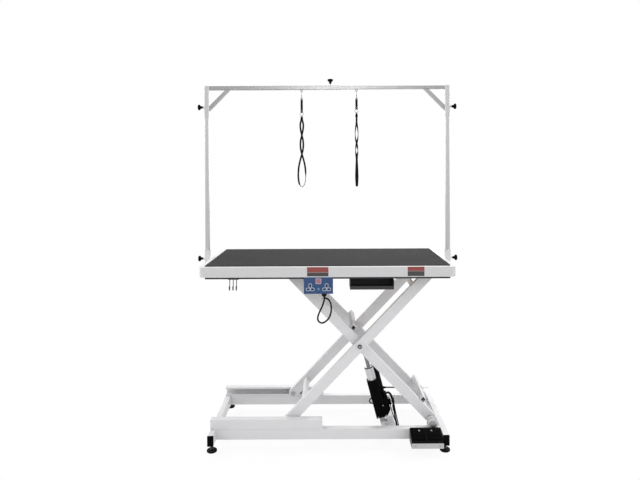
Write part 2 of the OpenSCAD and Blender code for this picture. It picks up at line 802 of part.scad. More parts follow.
module table_pivot_brackets() {
    cheek = 6;
    half = arm_w / 2 + 1;
    color([0.30, 0.30, 0.32]) {
        span([pivot_x - 30, -mat_w / 2 + under_w, board_z - hanger_t],
            [pivot_x + 30, mat_w / 2 - under_w, board_z]);
        front_and_rear() {
            for (y = [-outer_y - half, -outer_y + half + cheek])
                translate([pivot_x, y, top_pivot_z]) rotate([90, 0, 0]) linear_extrude(cheek) {
                    circle(24);
                    translate([-24, 0]) square([48, board_z - hanger_t - top_pivot_z]);
                }
            translate([pivot_x, 0, top_pivot_z]) {
                rod_y(pin_d, -outer_y - half - cheek - head_t, -outer_y + half + cheek + head_t);
                hex_y(pin_d + 8, -outer_y - half - cheek - head_t, -outer_y - half - cheek);
                hex_y(pin_d + 8, -outer_y + half + cheek, -outer_y + half + cheek + head_t);
            }
        }
    }
}

// Fittings under the edge

module hook_rack() {
    face = mat_w / 2;
    rack_x = rack_inset - top_l / 2;
    color([0.06, 0.06, 0.06]) {
        span([rack_x, -face - 3, under_z - 2], [rack_x + rack_l, -face, edge_z - pass]);
        for (x = [9, 26, 42]) translate([rack_x + x, -face - 3, under_z + 5]) wire_hook();
    }
}

// A wire that drops from the strip and turns up at its tip
module wire_hook() {
    wire = 2;
    drop = 48;
    turn = 8;
    translate([0, -wire + 0.5, 0]) {
        translate([0, 0, -drop]) cylinder(r = wire, h = drop);
        sphere(wire);
        translate([0, -turn, -drop]) rotate([90, 0, 0]) rotate([0, 90, 0])
            rotate([0, 0, 180]) rotate_extrude(angle = 180) translate([turn, 0]) circle(wire);
        translate([0, -2 * turn, -drop]) cylinder(r = wire, h = 10);
        translate([0, -2 * turn, -drop + 10]) sphere(wire + 1);
    }
}

module tool_tray() {
    wall = 1.5;
    front = -top_w / 2 + 3;
    back = front + tray_depth;
    low = under_z - tray_h;
    color([0.20, 0.20, 0.21]) difference() {
        span([tray_x, front, low], [tray_x + tray_w, back, under_z]);
        span([tray_x + wall, front + wall, low + wall], [tray_x + tray_w - wall, back - wall, under_z + 1]);
        span([tray_x + wall, front - 1, low + tray_lip], [tray_x + tray_w - wall, front + 2, under_z + 1]);
    }
}

module control_box() {
    right = pivot_x - 122;
    under = board_z - hanger_t;
    color([0.10, 0.10, 0.11]) {
        span([right - 150, 30, under - 23], [right, 110, under]);
        span([right - 156, 50, under], [right + 6, 90, board_z]);
    }
}

module socket_box() {
    depth = 46;
    gland_h = 2 - plate_h - cord_route[0][2];
    front = -top_w / 2 + 10;
    color([0.12, 0.13, 0.15]) {
        difference() {
            span([plate_x + 2, front, edge_z - plate_h + 2],
                [plate_x + plate_w - 2, front + depth, under_z]);
            span([plate_x + 4, front - 1, edge_z - plate_h + 4],
                [plate_x + plate_w - 4, front + depth - 2, under_z - 2]);
        }
        translate(cord_route[0] + [0, -top_w / 2, edge_z]) rotate_extrude()
            polygon([[0, 0], [cord_d / 2 + 1, 0], [9, 3], [12, 9], [13, gland_h], [0, gland_h]]);
    }
}

// The seat of one outlet's three slots, about the outlet's middle
module outlet_slots() {
    translate([-2.5, 7]) square([5, 9]);
    for (x = [-1, 1]) translate([x * 11 - 4, -8]) square([8, 5]);
}

function outlet_places() = [for (side = [-1, 1]) plate_x + plate_w / 2 + side * outlet_pitch / 2];

module socket_plate() {
    color([0.10, 0.28, 0.52]) difference() {
        span([plate_x, -top_w / 2 + 2, edge_z - plate_h],
            [plate_x + plate_w, -top_w / 2 + 10, edge_z - pass]);
        for (x = outlet_places()) translate([x, 0, edge_z - plate_h / 2 - 12]) rotate([90, 0, 0])
            translate([0, 0, top_w / 2 - 11]) linear_extrude(12) outlet_slots();
        translate([plate_x + plate_w / 2, -top_w / 2 + rocker_in, rocker_z]) {
            cube([rocker_w + 0.4, 24, rocker_h + 2.4], center = true);
            rotate([0, 90, 0]) cylinder(r = rocker_pin_r + run_fit, h = rocker_w + 3.2, center = true);
        }
    }
}

module switch_rocker() {
    half = rocker_h / 2;
    color([0.70, 0.20, 0.16]) translate([plate_x + plate_w / 2, -top_w / 2 + rocker_in, rocker_z]) {
        rotate([90, 0, 90]) linear_extrude(rocker_w, center = true)
            polygon([[0.6, 3 - half], [-6.4, -half], [-5, 0], [-6.4, half], [0.6, half - 3]]);
        rotate([0, 90, 0]) cylinder(r = rocker_pin_r, h = rocker_w + 2.8, center = true);
    }
}

module socket_cord() {
    color([0.04, 0.04, 0.04]) translate([0, -top_w / 2, edge_z])
        cable(cord_route, cord_d, [0, 1, 0.2]);
}

// Grooming arm

module post_sockets() {
    color([0.82, 0.82, 0.84]) for (side = [-1, 1]) mirror([side > 0 ? 0 : 1, 0, 0])
        difference() {
            union() {
                translate([post_x, 0, socket_z]) linear_extrude(socket_l)
                    round_rect(socket_w, socket_w, 2);
                span([top_l / 2, -22, edge_z + 4], [top_l / 2 + socket_plate_t, 22, edge_top - 4]);
                translate([post_x + socket_w / 2, 0, low_knob_z]) rotate([0, 90, 0])
                    cylinder(d = boss_d, h = boss_t);
            }
            translate([post_x, 0, socket_z - 1]) linear_extrude(socket_l + 2)
                square(post_w + 2 * slide_fit, center = true);
            translate([post_x, 0, low_knob_z]) rotate([0, 90, 0])
                cylinder(d = screw_d + 2 * run_fit, h = socket_w);
        }
}

module posts() {
    color([0.70, 0.70, 0.71]) for (side = [-1, 1])
        translate([side * post_x, 0, socket_z + 4])
            linear_extrude(post_top - socket_z - 4) tube_section(post_w, post_w, post_wall);
}

// A sleeve over the post, closed at its top, with the brace up to the bar
module corner() {
    inner_face = post_x - sleeve_w / 2;
    difference() {
        union() {
            translate([post_x, 0, sleeve_z]) linear_extrude(sleeve_l)
                round_rect(sleeve_w, sleeve_w, 2);
            translate([post_x + sleeve_w / 2, 0, high_knob_z]) rotate([0, 90, 0])
                cylinder(d = boss_d, h = boss_t);
            brace(inner_face);
        }
        translate([post_x, 0, sleeve_z - 1]) linear_extrude(sleeve_l - 2)
            square(post_w + 2 * slide_fit, center = true);
        translate([post_x, 0, high_knob_z]) rotate([0, 90, 0])
            cylinder(d = screw_d + 2 * run_fit, h = sleeve_w);
    }
}

// Diagonal tube between the sleeve's inner face and the bar's underside
module brace(inner_face) {
    low = arm_top - bar_w - brace_drop;
    slant = brace_w / sqrt(2);
    translate([0, brace_w / 2, 0]) rotate([90, 0, 0]) linear_extrude(brace_w)
        polygon([[inner_face, low - slant], [inner_face, low + slant],
            [inner_face - brace_drop + slant, low + brace_drop],
            [inner_face - brace_drop - slant, low + brace_drop]]);
}

module eyelet(x, z) {
    translate([x, 0, z + weld - eyelet_r - eyelet_wire / 2]) rotate([90, 0, 0])
        rotate_extrude() translate([eyelet_r, 0]) circle(eyelet_wire);
}

module overhead_left() {
    left_end = -post_x + sleeve_w / 2;
    color([0.70, 0.70, 0.71]) difference() {
        union() {
            mirror([1, 0, 0]) corner();
            translate([left_end, 0, bar_z]) rotate([90, 0, 90])
                linear_extrude(bar_split - left_end) round_rect(bar_w, bar_w, 2);
            translate([top_knob_x, 0, bar_z + bar_w / 2 - 1])
                cylinder(d = boss_d, h = boss_t + 1);
            eyelet(leash_left_x, bar_z - bar_w / 2);
        }
        translate([left_end + 2, 0, bar_z]) rotate([90, 0, 90])
            linear_extrude(bar_split - left_end) square(bar_in_w + 2 * slide_fit, center = true);
        translate([top_knob_x, 0, bar_z]) cylinder(d = screw_d + 2 * run_fit, h = bar_w);
    }
}

module overhead_right() {
    left_end = bar_split - bar_lap;
    right_end = post_x - sleeve_w / 2;
    color([0.66, 0.66, 0.67]) {
        corner();
        translate([left_end, 0, bar_z]) rotate([90, 0, 90])
            linear_extrude(right_end - left_end) difference() {
                round_rect(bar_in_w, bar_in_w, 2);
                square(bar_in_w - 3, center = true);
            }
        eyelet(leash_right_x, bar_z - bar_in_w / 2);
    }
}

// A black grip, narrow at the neck, on its steel screw; it points along +Z
module knob(screw_l) {
    color([0.07, 0.07, 0.07]) {
        difference() {
            rotate_extrude() polygon([[0, 0], [5.5, 0], [6.5, 5], [8, knob_l - 14],
                [knob_d / 2 - 1, knob_l - 11], [knob_d / 2, knob_l - 9], [knob_d / 2, knob_l - 3],
                [knob_d / 2 - 2, knob_l - 1], [knob_d / 2 - 5, knob_l], [0, knob_l]]);
            for (i = [0 : 7]) rotate(i * 45) translate([knob_d / 2 + 2.4, 0, -1])
                cylinder(r = 4, h = knob_l + 2);
        }
        translate([0, 0, -screw_l]) cylinder(d = screw_d, h = screw_l + 1);
    }
}

// The screw reaches the tube inside its holder
module side_knob(side, z, holder_w) {
    reach_in = holder_w / 2 - post_w / 2 - pass + boss_t + knob_gap;
    mirror([side > 0 ? 0 : 1, 0, 0])
        translate([post_x + holder_w / 2 + boss_t + knob_gap, 0, z])
            rotate([0, 90, 0]) knob(reach_in);
}

module knob_bar() {
    reach_in = bar_w / 2 - bar_in_w / 2 - pass + boss_t + knob_gap;
    translate([top_knob_x, 0, arm_top + boss_t + knob_gap]) knob(reach_in);
}

// Leashes

// A spring hook over the eyelet's wire; it swings about the wire
module snap(x, z) {
    wire = 2;
    half = 5;
    top = eyelet_wire + 0.8 + wire;
    color([0.80, 0.80, 0.81]) translate([x, 0, z]) {
        translate([0, 0, top - half]) rotate([90, 0, 90]) rotate_extrude(angle = 180)
            translate([half, 0]) circle(wire);
        for (y = [-1, 1]) translate([0, y * half, -16]) cylinder(r = wire, h = 16 + top - half);
        translate([0, 0, -16]) rotate([90, 0, 90]) rotate_extrude(angle = -180)
            translate([half, 0]) circle(wire);
        translate([0, 0, -26]) cylinder(r = 3.5, h = 6);
        translate([0, 0, -28]) cylinder(r = 2, h = 4);
        translate([0, 0, -snap_l + 4]) cylinder(r = 5, h = 4);
    }
}

// The doubled strap between the hook's swivel and the ring
module strap(x, z, len) {
    top = z - snap_l;
    color([0.10, 0.10, 0.10]) {
        span([x - strap_w / 2, -strap_t / 2, top - len], [x + strap_w / 2, strap_t / 2, top + 3.7]);
        translate([x, 0, top - len - ring_r + 1]) rotate([90, 0, 0])
            rotate_extrude() translate([ring_r, 0]) circle(1.6);
    }
}

function mirrored(p) = concat(p, [for (i = [len(p) - 2 : -1 : 0]) [-p[i][0], -p[i][1], p[i][2]]]);

// A flat webbing loop: its width lies square to the line from the loop's axis
module web_loop(route, x, z) {
    n = 8;
    path = mirrored(route);
    bend_z = route[len(route) - 1][2] + 40;
    outward = [for (p = path) let (q = [p[0], p[1], min(p[2] - bend_z, 0)]) q / max(norm(q), 0.01)];
    color([0.08, 0.08, 0.08]) translate([x, 0, z])
        skin([for (i = [0 : len(path) - 1])
            ring_at(path, i, outward[i], web_w / 2, web_t / 2, n)], n);
}

function ring_z(z, len) = z - snap_l - len - 2 * ring_r + 1;

// The assembly

base_frame();
base_end_caps();
actuator_mount();
base_rails();
base_pivot_brackets();
base_pivot_shaft();
foot(-1, -1);  // foot_front_left
foot(1, -1);  // foot_front_right
foot(-1, 1);  // foot_rear_left
foot(1, 1);  // foot_rear_right
pedal_bracket();
pedal_housing();
pedal_trim();
pedal_pad(-1);  // pedal_left
pedal_pad(1);  // pedal_right
inner_arm(-1);  // inner_arm_front
inner_arm(1);  // inner_arm_rear
inner_cross_tubes();
actuator_ears();
centre_pins();
outer_arm(-1);  // outer_arm_front
outer_arm(1);  // outer_arm_rear
outer_cross_tubes();
lower_rollers();
upper_rollers();
actuator_gearbox();
actuator_motor();
actuator_tube();
actuator_rod();
actuator_leads();
actuator_cable();
table_edge();
table_board();
table_mat();
table_underframe();
table_rails();
table_pivot_brackets();
hook_rack();
tool_tray();
control_box();
socket_box();
socket_plate();
switch_rocker();
socket_cord();
post_sockets();
posts();
overhead_left();
overhead_right();
side_knob(-1, low_knob_z, socket_w);  // knob_low_left
side_knob(1, low_knob_z, socket_w);  // knob_low_right
side_knob(-1, high_knob_z, sleeve_w);  // knob_high_left
side_knob(1, high_knob_z, sleeve_w);  // knob_high_right
knob_bar();
snap(leash_left_x, snap_left_z);  // snap_left
snap(leash_right_x, snap_right_z);  // snap_right
strap(leash_left_x, snap_left_z, strap_l);  // strap_left
strap(leash_right_x, snap_right_z, strap_right_l);  // strap_right
web_loop(leash_left_route, leash_left_x, ring_z(snap_left_z, strap_l));  // leash_left
web_loop(leash_right_route, leash_right_x, ring_z(snap_right_z, strap_right_l));  // leash_right
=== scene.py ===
"""Looks of an electric dog grooming table, laid out as an add-on and run as a script."""
import json
import math

import bmesh
import bpy
from mathutils import Matrix, Vector


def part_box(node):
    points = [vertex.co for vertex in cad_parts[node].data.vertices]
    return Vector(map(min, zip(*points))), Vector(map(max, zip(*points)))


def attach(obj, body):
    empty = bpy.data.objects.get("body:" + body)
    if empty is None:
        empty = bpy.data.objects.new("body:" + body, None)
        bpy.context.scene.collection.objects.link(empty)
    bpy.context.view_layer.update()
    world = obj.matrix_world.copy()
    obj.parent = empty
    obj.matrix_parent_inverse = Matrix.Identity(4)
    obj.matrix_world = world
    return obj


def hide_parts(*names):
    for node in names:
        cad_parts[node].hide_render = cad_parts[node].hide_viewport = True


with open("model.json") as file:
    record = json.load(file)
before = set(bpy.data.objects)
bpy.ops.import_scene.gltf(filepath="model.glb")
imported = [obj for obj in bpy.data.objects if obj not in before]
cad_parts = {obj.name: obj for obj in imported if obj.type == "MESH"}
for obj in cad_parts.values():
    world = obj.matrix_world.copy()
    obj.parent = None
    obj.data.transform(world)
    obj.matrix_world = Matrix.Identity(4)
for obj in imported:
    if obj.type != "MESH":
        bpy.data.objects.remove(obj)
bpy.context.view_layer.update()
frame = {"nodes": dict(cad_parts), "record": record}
NODES = frame["nodes"]

bl_info = {
    "name": "Dog grooming table looks",
    "version": (1, 0, 0),
    "blender": (4, 5, 0),
    "location": "3D View > Sidebar > Grooming table",
    "description": "Dresses the packed grooming table and sets its stage",
    "category": "Object",
}

PHOTO_WIDTH = 640
SENSOR_WIDTH = 36.0
ALONG, BACK, FRONT, UP = (1, 0, 0), (0, 1, 0), (0, -1, 0), (0, 0, 1)


def mm(*values):
    """Millimetres as metres: a number, or a vector of several."""
    scaled = [v * 0.001 for v in values]
    return scaled[0] if len(scaled) == 1 else Vector(scaled)


def middle(node):
    """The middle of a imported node's box."""
    low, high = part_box(node)
    return (low + high) / 2


# Values that a user would change

def colour(name, text, value):
    """A colour property with its default."""
    return bpy.props.FloatVectorProperty(
        name=name, description=text, subtype="COLOR", size=4, min=0, max=1, default=(*value, 1.0)
    )


def length(name, text, value):
    """A length property, in metres."""
    return bpy.props.FloatProperty(
        name=name, description=text, unit="LENGTH", min=0.0001, default=mm(value)
    )


class GroomingColours(bpy.types.PropertyGroup):
    """Colours of the table's finishes."""

    frame: colour("Frame paint", "Powder coat of the base, arms and sockets", (0.655, 0.655, 0.67))
    # Painted shade: the edge is the frame's white powder coat, given a darker copy of it so that its
    # front face reads shaded
    edge: colour("Edge paint", "Powder coat of the table's edge frame", (0.565, 0.560, 0.570))
    dark: colour("Dark paint", "Paint of the hidden frame, tray and hooks", (0.010, 0.010, 0.011))
    steel: colour("Stainless steel", "Brushed tubes of the grooming arm", (0.545, 0.545, 0.545))
    # Painted shade: the cross bar is the posts' stainless steel, given a darker tone so that it
    # reads darker than the posts
    bar: colour("Cross bar", "Brushed tube of the overhead bar", (0.36, 0.36, 0.36))
    # Painted shade: the corner braces are the posts' stainless steel, given a darker tone so that
    # they read darker than the posts
    brace: colour("Corner brace", "Brushed strips of the bar's corners", (0.37, 0.37, 0.37))
    zinc: colour("Zinc", "Plating of pins, screws and nuts", (0.40, 0.40, 0.41))
    chrome: colour("Chrome", "Plating of the spring hooks and rings", (0.25, 0.25, 0.255))
    aluminium: colour("Aluminium", "Ribbed tube of the actuator", (0.70, 0.70, 0.71))
    plastic: colour("Black plastic", "Mouldings, knobs and housings", (0.0014, 0.0014, 0.0015))
    rubber: colour("Rubber", "Feet and cable sheaths", (0.003, 0.003, 0.003))
    mat: colour("Mat", "Rubber mat of the table top", (0.0190, 0.0185, 0.0185))
    board: colour("Board", "Plywood under the mat", (0.46, 0.31, 0.17))
    blue: colour("Blue plastic", "Face plate of the socket box", (0.006, 0.042, 0.135))
    red: colour("Red plastic", "Rocker of the switch", (0.31, 0.12, 0.15))
    print_white: colour("White print", "Outlines of the outlets", (0.40, 0.44, 0.51))
    print_grey: colour("Grey print", "Arrows of the foot pedal", (0.30, 0.31, 0.32))
    lens: colour("Pale blue cap", "Round cap under the switch", (0.10, 0.20, 0.38))
    bezel: colour("Bezel", "Frame round the rocker", (0.52, 0.44, 0.54))
    web: colour("Webbing", "Woven straps of the leashes", (0.003, 0.003, 0.0033))


class GroomingSizes(bpy.types.PropertyGroup):
    """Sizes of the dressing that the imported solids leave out."""

    edge_round: length("Edge rounding", "Rounding of the table's steel edge", 2.6)
    tube_round: length("Tube rounding", "Rounding of the scissor arms' edges", 2.2)
    small_round: length("Small rounding", "Rounding of brackets and fittings", 0.7)
    web_width: length("Webbing width", "Width of the leash webbing", 9.6)
    web_thick: length("Webbing thickness", "Thickness of the leash webbing", 3.0)
    pad_width: length("Pad width", "Width of the padded part of a leash", 16.5)
    cord_width: length("Cord diameter", "Diameter of the socket box's cord", 8.2)
    strand_width: length("Thin lead diameter", "Diameter of the actuator's thinner cables", 5.2)
    lead_width: length("Lead diameter", "Diameter of the actuator's cable", 8.2)


# Modelling, as by hand

SAME_PLACE = 1e-6
FLAT_ENOUGH = math.radians(0.4)
SHARP_EDGE = math.radians(38)


def clear_selection():
    """Leaves edit mode and deselects everything."""
    if bpy.context.object and bpy.context.object.mode != "OBJECT":
        bpy.ops.object.mode_set(mode="OBJECT")
    bpy.ops.object.select_all(action="DESELECT")


def pick_object(obj):
    """Makes one object the only selected and active one."""
    clear_selection()
    bpy.context.view_layer.objects.active = obj
    obj.select_set(True)


def open_object(obj, kind, action):
    """Opens one object in edit mode, with all its faces, edges or vertices selected or none."""
    pick_object(obj)
    bpy.ops.object.mode_set(mode="EDIT")
    bpy.ops.mesh.select_mode(type=kind)
    bpy.ops.mesh.select_all(action=action)


def link_new(name, data):
    """A new object in the scene, on a mesh or curve."""
    obj = bpy.data.objects.new(name, data)
    bpy.context.scene.collection.objects.link(obj)
    return obj


class Bench:
    """One piece in the making: a start shape, edit-mode operators, then modifiers.

    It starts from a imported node's copy, a curve that becomes a mesh, or a primitive.
    """

    def __init__(self, name, start, **settings):
        clear_selection()
        if isinstance(start, bpy.types.Object):
            pick_object(start)
            bpy.ops.object.convert(target="MESH")
            self.obj = bpy.context.object
        elif start in NODES:
            self.obj = link_new(name, NODES[start].data.copy())
            self.obj.data.materials.clear()
            self.whole("remove_doubles", threshold=SAME_PLACE)
            self.whole("dissolve_limited", angle_limit=FLAT_ENOUGH)
        else:
            getattr(bpy.ops.mesh, "primitive_" + start + "_add")(**settings)
            self.obj = bpy.context.object
            bpy.ops.object.transform_apply(location=True, rotation=True, scale=True)
        self.rename(name)

    def rename(self, name):
        """Names the piece and its mesh."""
        self.obj.name = self.obj.data.name = name
        return self

    def select(self, kind, test):
        """Selects faces by their middle and normal, or edges by their middle and direction."""
        open_object(self.obj, kind, "DESELECT")
        mesh = bmesh.from_edit_mesh(self.obj.data)
        if kind == "FACE":
            for face in mesh.faces:
                face.select_set(bool(test(face.calc_center_median(), face.normal)))
        else:
            for edge in mesh.edges:
                a, b = (v.co for v in edge.verts)
                edge.select_set(bool(test((a + b) / 2, (b - a).normalized())))
        mesh.select_flush_mode()
        bmesh.update_edit_mesh(self.obj.data)
        return self

    def shape(self, operator, **settings):
        """Runs a mesh operator on the selection."""
        getattr(bpy.ops.mesh, operator)(**settings)
        return self

    def whole(self, operator, **settings):
        """Runs a mesh operator on the whole piece."""
        open_object(self.obj, "VERT", "SELECT")
        getattr(bpy.ops.mesh, operator)(**settings)
        bpy.ops.object.mode_set(mode="OBJECT")
        return self

    def modify(self, kind, **settings):
        """Adds a modifier and applies it."""
        pick_object(self.obj)
        made = self.obj.modifiers.new(kind.title(), kind)
        for key, value in settings.items():
            setattr(made, key, value)
        bpy.ops.object.modifier_apply(modifier=made.name)
        return self

    def ease(self, width, segments=2):
        """Rounds the sharp edges."""
        return self.modify(
            "BEVEL", width=width, segments=segments, limit_method="ANGLE",
            angle_limit=SHARP_EDGE, profile=0.6,
        )

    def place(self, matrix):
        """Moves the mesh itself, so that its object stays at the origin."""
        clear_selection()
        self.obj.data.transform(matrix)
        return self

    def join(self, *others):
        """Takes other pieces into this one."""
        pick_object(self.obj)
        for other in others:
            other.obj.select_set(True)
        bpy.ops.object.join()
        return self

    def paint(self, *finishes, where=()):
        """Gives the piece its finishes: the first one, and one for each test on a face's middle."""
        clear_selection()
        self.obj.data.materials.clear()
        for finish in finishes:
            self.obj.data.materials.append(FINISHES[finish])
        for face in self.obj.data.polygons:
            face.material_index = 0
            for number, test in enumerate(where, 1):
                if test(face.center):
                    face.material_index = number
        return self

    def done(self, body, slot, *replaced, smooth=32):
        """Smooths the piece with flat faces kept flat, hangs it on its body and hides the imported
        nodes that it replaces.
        """
        pick_object(self.obj)
        bpy.ops.object.shade_smooth_by_angle(angle=math.radians(smooth))
        self.modify("WEIGHTED_NORMAL", keep_sharp=True)
        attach(self.obj, body)
        if replaced:
            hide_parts(*replaced)
        clear_selection()
        return self.obj


def block(name, low, high, bevel, segments=2):
    """A block between two corners with eased edges."""
    low, high = Vector(low), Vector(high)
    piece = Bench(name, "cube", size=1, location=(low + high) / 2, scale=high - low)
    return piece.whole("bevel", offset=bevel, segments=segments, affect="EDGES")


def towards(origin, direction):
    """The matrix that stands +Z along a direction at a place."""
    turn = Vector(direction).to_track_quat("Z", "Y").to_matrix().to_4x4()
    return Matrix.Translation(origin) @ turn


def turned(name, profile, origin, direction, sides, open_ends=False):
    """A turned piece: a disc drawn out ring by ring, as (radius, height) in millimetres.

    With open_ends its two discs are taken away and the rims joined, which leaves a ring.
    """
    (radius, height), *rest = [(mm(r), mm(h)) for r, h in profile]
    piece = Bench(
        name, "circle", vertices=sides, radius=radius, fill_type="NGON", location=(0, 0, height)
    )
    open_object(piece.obj, "FACE", "SELECT")
    for next_radius, next_height in rest:
        bpy.ops.mesh.extrude_region_move(
            TRANSFORM_OT_translate={"value": (0, 0, next_height - height)}
        )
        grow = next_radius / radius
        bpy.ops.transform.resize(value=(grow, grow, 1), center_override=(0, 0, next_height))
        radius, height = next_radius, next_height
    if open_ends:
        bpy.ops.mesh.select_all(action="DESELECT")
        bpy.ops.mesh.select_face_by_sides(number=sides, type="EQUAL")
        bpy.ops.mesh.delete(type="ONLY_FACE")
        bpy.ops.mesh.select_mode(type="EDGE")
        bpy.ops.mesh.select_all(action="DESELECT")
        bpy.ops.mesh.select_non_manifold()
        bpy.ops.mesh.bridge_edge_loops()
    piece.whole("normals_make_consistent", inside=False)
    return piece.place(towards(origin, direction))


WIRE_SIDES = 8


def wire(name, points, radius, sides, cyclic=False, smooth=True):
    """A round wire or tube along points, as a curve."""
    curve = bpy.data.curves.new(name, "CURVE")
    curve.dimensions = "3D"
    curve.bevel_depth = radius
    curve.bevel_resolution = sides // 2
    curve.use_fill_caps = not cyclic
    curve.resolution_u = 6
    spline = curve.splines.new("BEZIER" if smooth else "POLY")
    row = spline.bezier_points if smooth else spline.points
    row.add(len(points) - 1)
    for knot, point in zip(row, points):
        if smooth:
            knot.co = point
            knot.handle_left_type = knot.handle_right_type = "AUTO"
        else:
            knot.co = (*point, 1)
    spline.use_cyclic_u = cyclic
    return link_new(name, curve)


def wire_piece(name, points, radius, cyclic=False):
    """A wire that is turned into a mesh at once, to be joined or shaped."""
    return Bench(name, wire(name, points, radius, WIRE_SIDES, cyclic))


def arc(centre, radius, start, stop, across, up, count):
    """Points of an arc in the plane of two directions; angles in degrees."""
    across, up = Vector(across), Vector(up)
    turns = [math.radians(start + (stop - start) * i / (count - 1)) for i in range(count)]
    return [Vector(centre) + radius * (math.cos(t) * across + math.sin(t) * up) for t in turns]


# Materials

class Value:
    """A shader socket that takes arithmetic: an expression on values adds its Math nodes."""

    def __init__(self, finish, socket):
        self.finish = finish
        self.socket = socket

    def math(self, operation, *others, first=None):
        """A Math node on this value and others."""
        made = self.finish.node("ShaderNodeMath", {"operation": operation})
        row = [self, *others] if first is None else [first, self]
        for socket, value in zip(made.inputs, row):
            self.finish.feed(socket, value)
        return Value(self.finish, made.outputs[0])

    def __add__(self, other):
        return self.math("ADD", other)

    def __sub__(self, other):
        return self.math("SUBTRACT", other)

    def __rsub__(self, other):
        return self.math("SUBTRACT", first=other)

    def __mul__(self, other):
        return self.math("MULTIPLY", other)

    def __lt__(self, other):
        return self.math("LESS_THAN", other)

    __radd__ = __add__
    __rmul__ = __mul__

    def sine(self):
        """The sine of this value."""
        return self.math("SINE")

    def size(self):
        """This value without its sign."""
        return self.math("ABSOLUTE")

    def clamped(self):
        """This value kept between 0 and 1, by the node that made it."""
        self.socket.node.use_clamp = True
        return self


class Nodes:
    """A node tree of a material or the world, and the ways to add to it."""

    def __init__(self, tree):
        self.tree = tree

    def feed(self, socket, value):
        """Links a value to a socket, or sets a number or colour on it."""
        if isinstance(value, Value):
            value = value.socket
        if isinstance(value, bpy.types.NodeSocket):
            self.tree.links.new(value, socket)
        else:
            socket.default_value = value

    def node(self, kind, settings=None, **inputs):
        """Adds a node: its settings first, then its sockets by name, with _ for a space."""
        made = self.tree.nodes.new(kind)
        for key, value in (settings or {}).items():
            setattr(made, key, value)
        for key, value in inputs.items():
            self.feed(made.inputs[key.replace("_", " ")], value)
        return made

    def see_white(self):
        """1 for a ray that shows the background as such: straight, mirrored or through glass."""
        rays = self.node("ShaderNodeLightPath").outputs
        seen = Value(self, rays["Is Camera Ray"]) + Value(self, rays["Is Glossy Ray"])
        return (seen + Value(self, rays["Is Transmission Ray"])).clamped()


FINISHES = {}


class Finish(Nodes):
    """One material, kept under its name: a Principled shader and the nodes that feed it."""

    def __init__(self, name, colour, roughness, **fixed):
        self.material = FINISHES[name] = bpy.data.materials.new(name)
        self.material.use_nodes = True
        super().__init__(self.material.node_tree)
        self.shader = self.tree.nodes["Principled BSDF"]
        self.base = colour
        self.set(Base_Color=colour, Roughness=roughness, **fixed)
        self.material.diffuse_color = colour
        self.coordinates = self.node("ShaderNodeTexCoord").outputs["Object"]

    def set(self, **inputs):
        """Sets or links the shader's own sockets."""
        for key, value in inputs.items():
            self.feed(self.shader.inputs[key.replace("_", " ")], value)
        return self

    def axis(self, name):
        """One coordinate of the place on the piece, in metres."""
        split = self.node("ShaderNodeSeparateXYZ", Vector=self.coordinates)
        return Value(self, split.outputs[name])

    def noise(self, scale, detail=2.0, stretch=(1, 1, 1), roughness=0.5):
        """Cloudy values from 0 to 1; stretch under 1 draws them out along an axis."""
        place = self.node("ShaderNodeVectorMath", {"operation": "MULTIPLY"})
        self.feed(place.inputs[0], self.coordinates)
        self.feed(place.inputs[1], stretch)
        made = self.node(
            "ShaderNodeTexNoise", Vector=place.outputs[0], Scale=scale, Detail=detail,
            Roughness=roughness,
        )
        return Value(self, made.outputs[0])

    def blend(self, factor, first, second):
        """A colour between two others."""
        made = self.node("ShaderNodeMix", {"data_type": "RGBA"})
        for number, value in ((0, factor), (6, first), (7, second)):
            self.feed(made.inputs[number], value)
        return made.outputs[2]

    def bump(self, height, depth, strength):
        """Raises the surface by a height from 0 to 1 times a depth in millimetres."""
        made = self.node("ShaderNodeBump", Height=height, Distance=mm(depth), Strength=strength)
        return self.set(Normal=made.outputs[0])

    def shade(self, factor, scale, lift=0.0):
        """The base colour, scaled and lifted where the factor is 1."""
        toned = tuple(c * scale + lift for c in self.base[:3]) + (1.0,)
        return self.blend(factor, self.base, toned)


def powder_coat(name, colour, roughness):
    """Satin powder coat: a fine orange peel with faint clouds in colour and gloss."""
    finish = Finish(name, colour, roughness, Coat_Weight=0.15)
    cloud = finish.noise(9, 3)
    peel = finish.noise(520, 2)
    finish.set(Base_Color=finish.shade(cloud, 0.93), Roughness=roughness - 0.08 + 0.16 * cloud)
    finish.bump(peel, 0.35, 0.35)


def brushed(name, colour, roughness, grain, lines=900):
    """Brushed or drawn metal: fine lines along the axis that grain names as nearly still."""
    finish = Finish(name, colour, roughness, Metallic=1.0)
    line = finish.noise(lines, 2, grain, 0.6)
    cloud = finish.noise(14, 3)
    finish.set(
        Base_Color=finish.shade(line * 0.6 + cloud * 0.4, 0.78),
        Roughness=roughness - 0.07 + 0.2 * line,
    )
    finish.bump(line, 0.2, 0.3)


def plated(name, colour, roughness):
    """Plated metal with faint spots and smudges."""
    finish = Finish(name, colour, roughness, Metallic=1.0)
    spots = finish.noise(160, 4)
    smudge = finish.noise(35, 2)
    finish.set(
        Base_Color=finish.shade(spots, 0.82), Roughness=roughness + 0.12 * spots * smudge
    )


def moulded(name, colour, roughness, grain=1500, depth=0.1, gloss=0.0, shine=0.35):
    """Moulded plastic: a fine spark-eroded grain, its depth in millimetres, and a faint bloom."""
    finish = Finish(
        name, colour, roughness, Coat_Weight=gloss, Coat_Roughness=0.2, Specular_IOR_Level=shine
    )
    texture = finish.noise(grain, 2)
    bloom = finish.noise(20, 3)
    finish.set(
        Base_Color=finish.shade(bloom, 1.1, 0.0015), Roughness=roughness - 0.06 + 0.14 * bloom
    )
    finish.bump(texture, depth, 0.5)


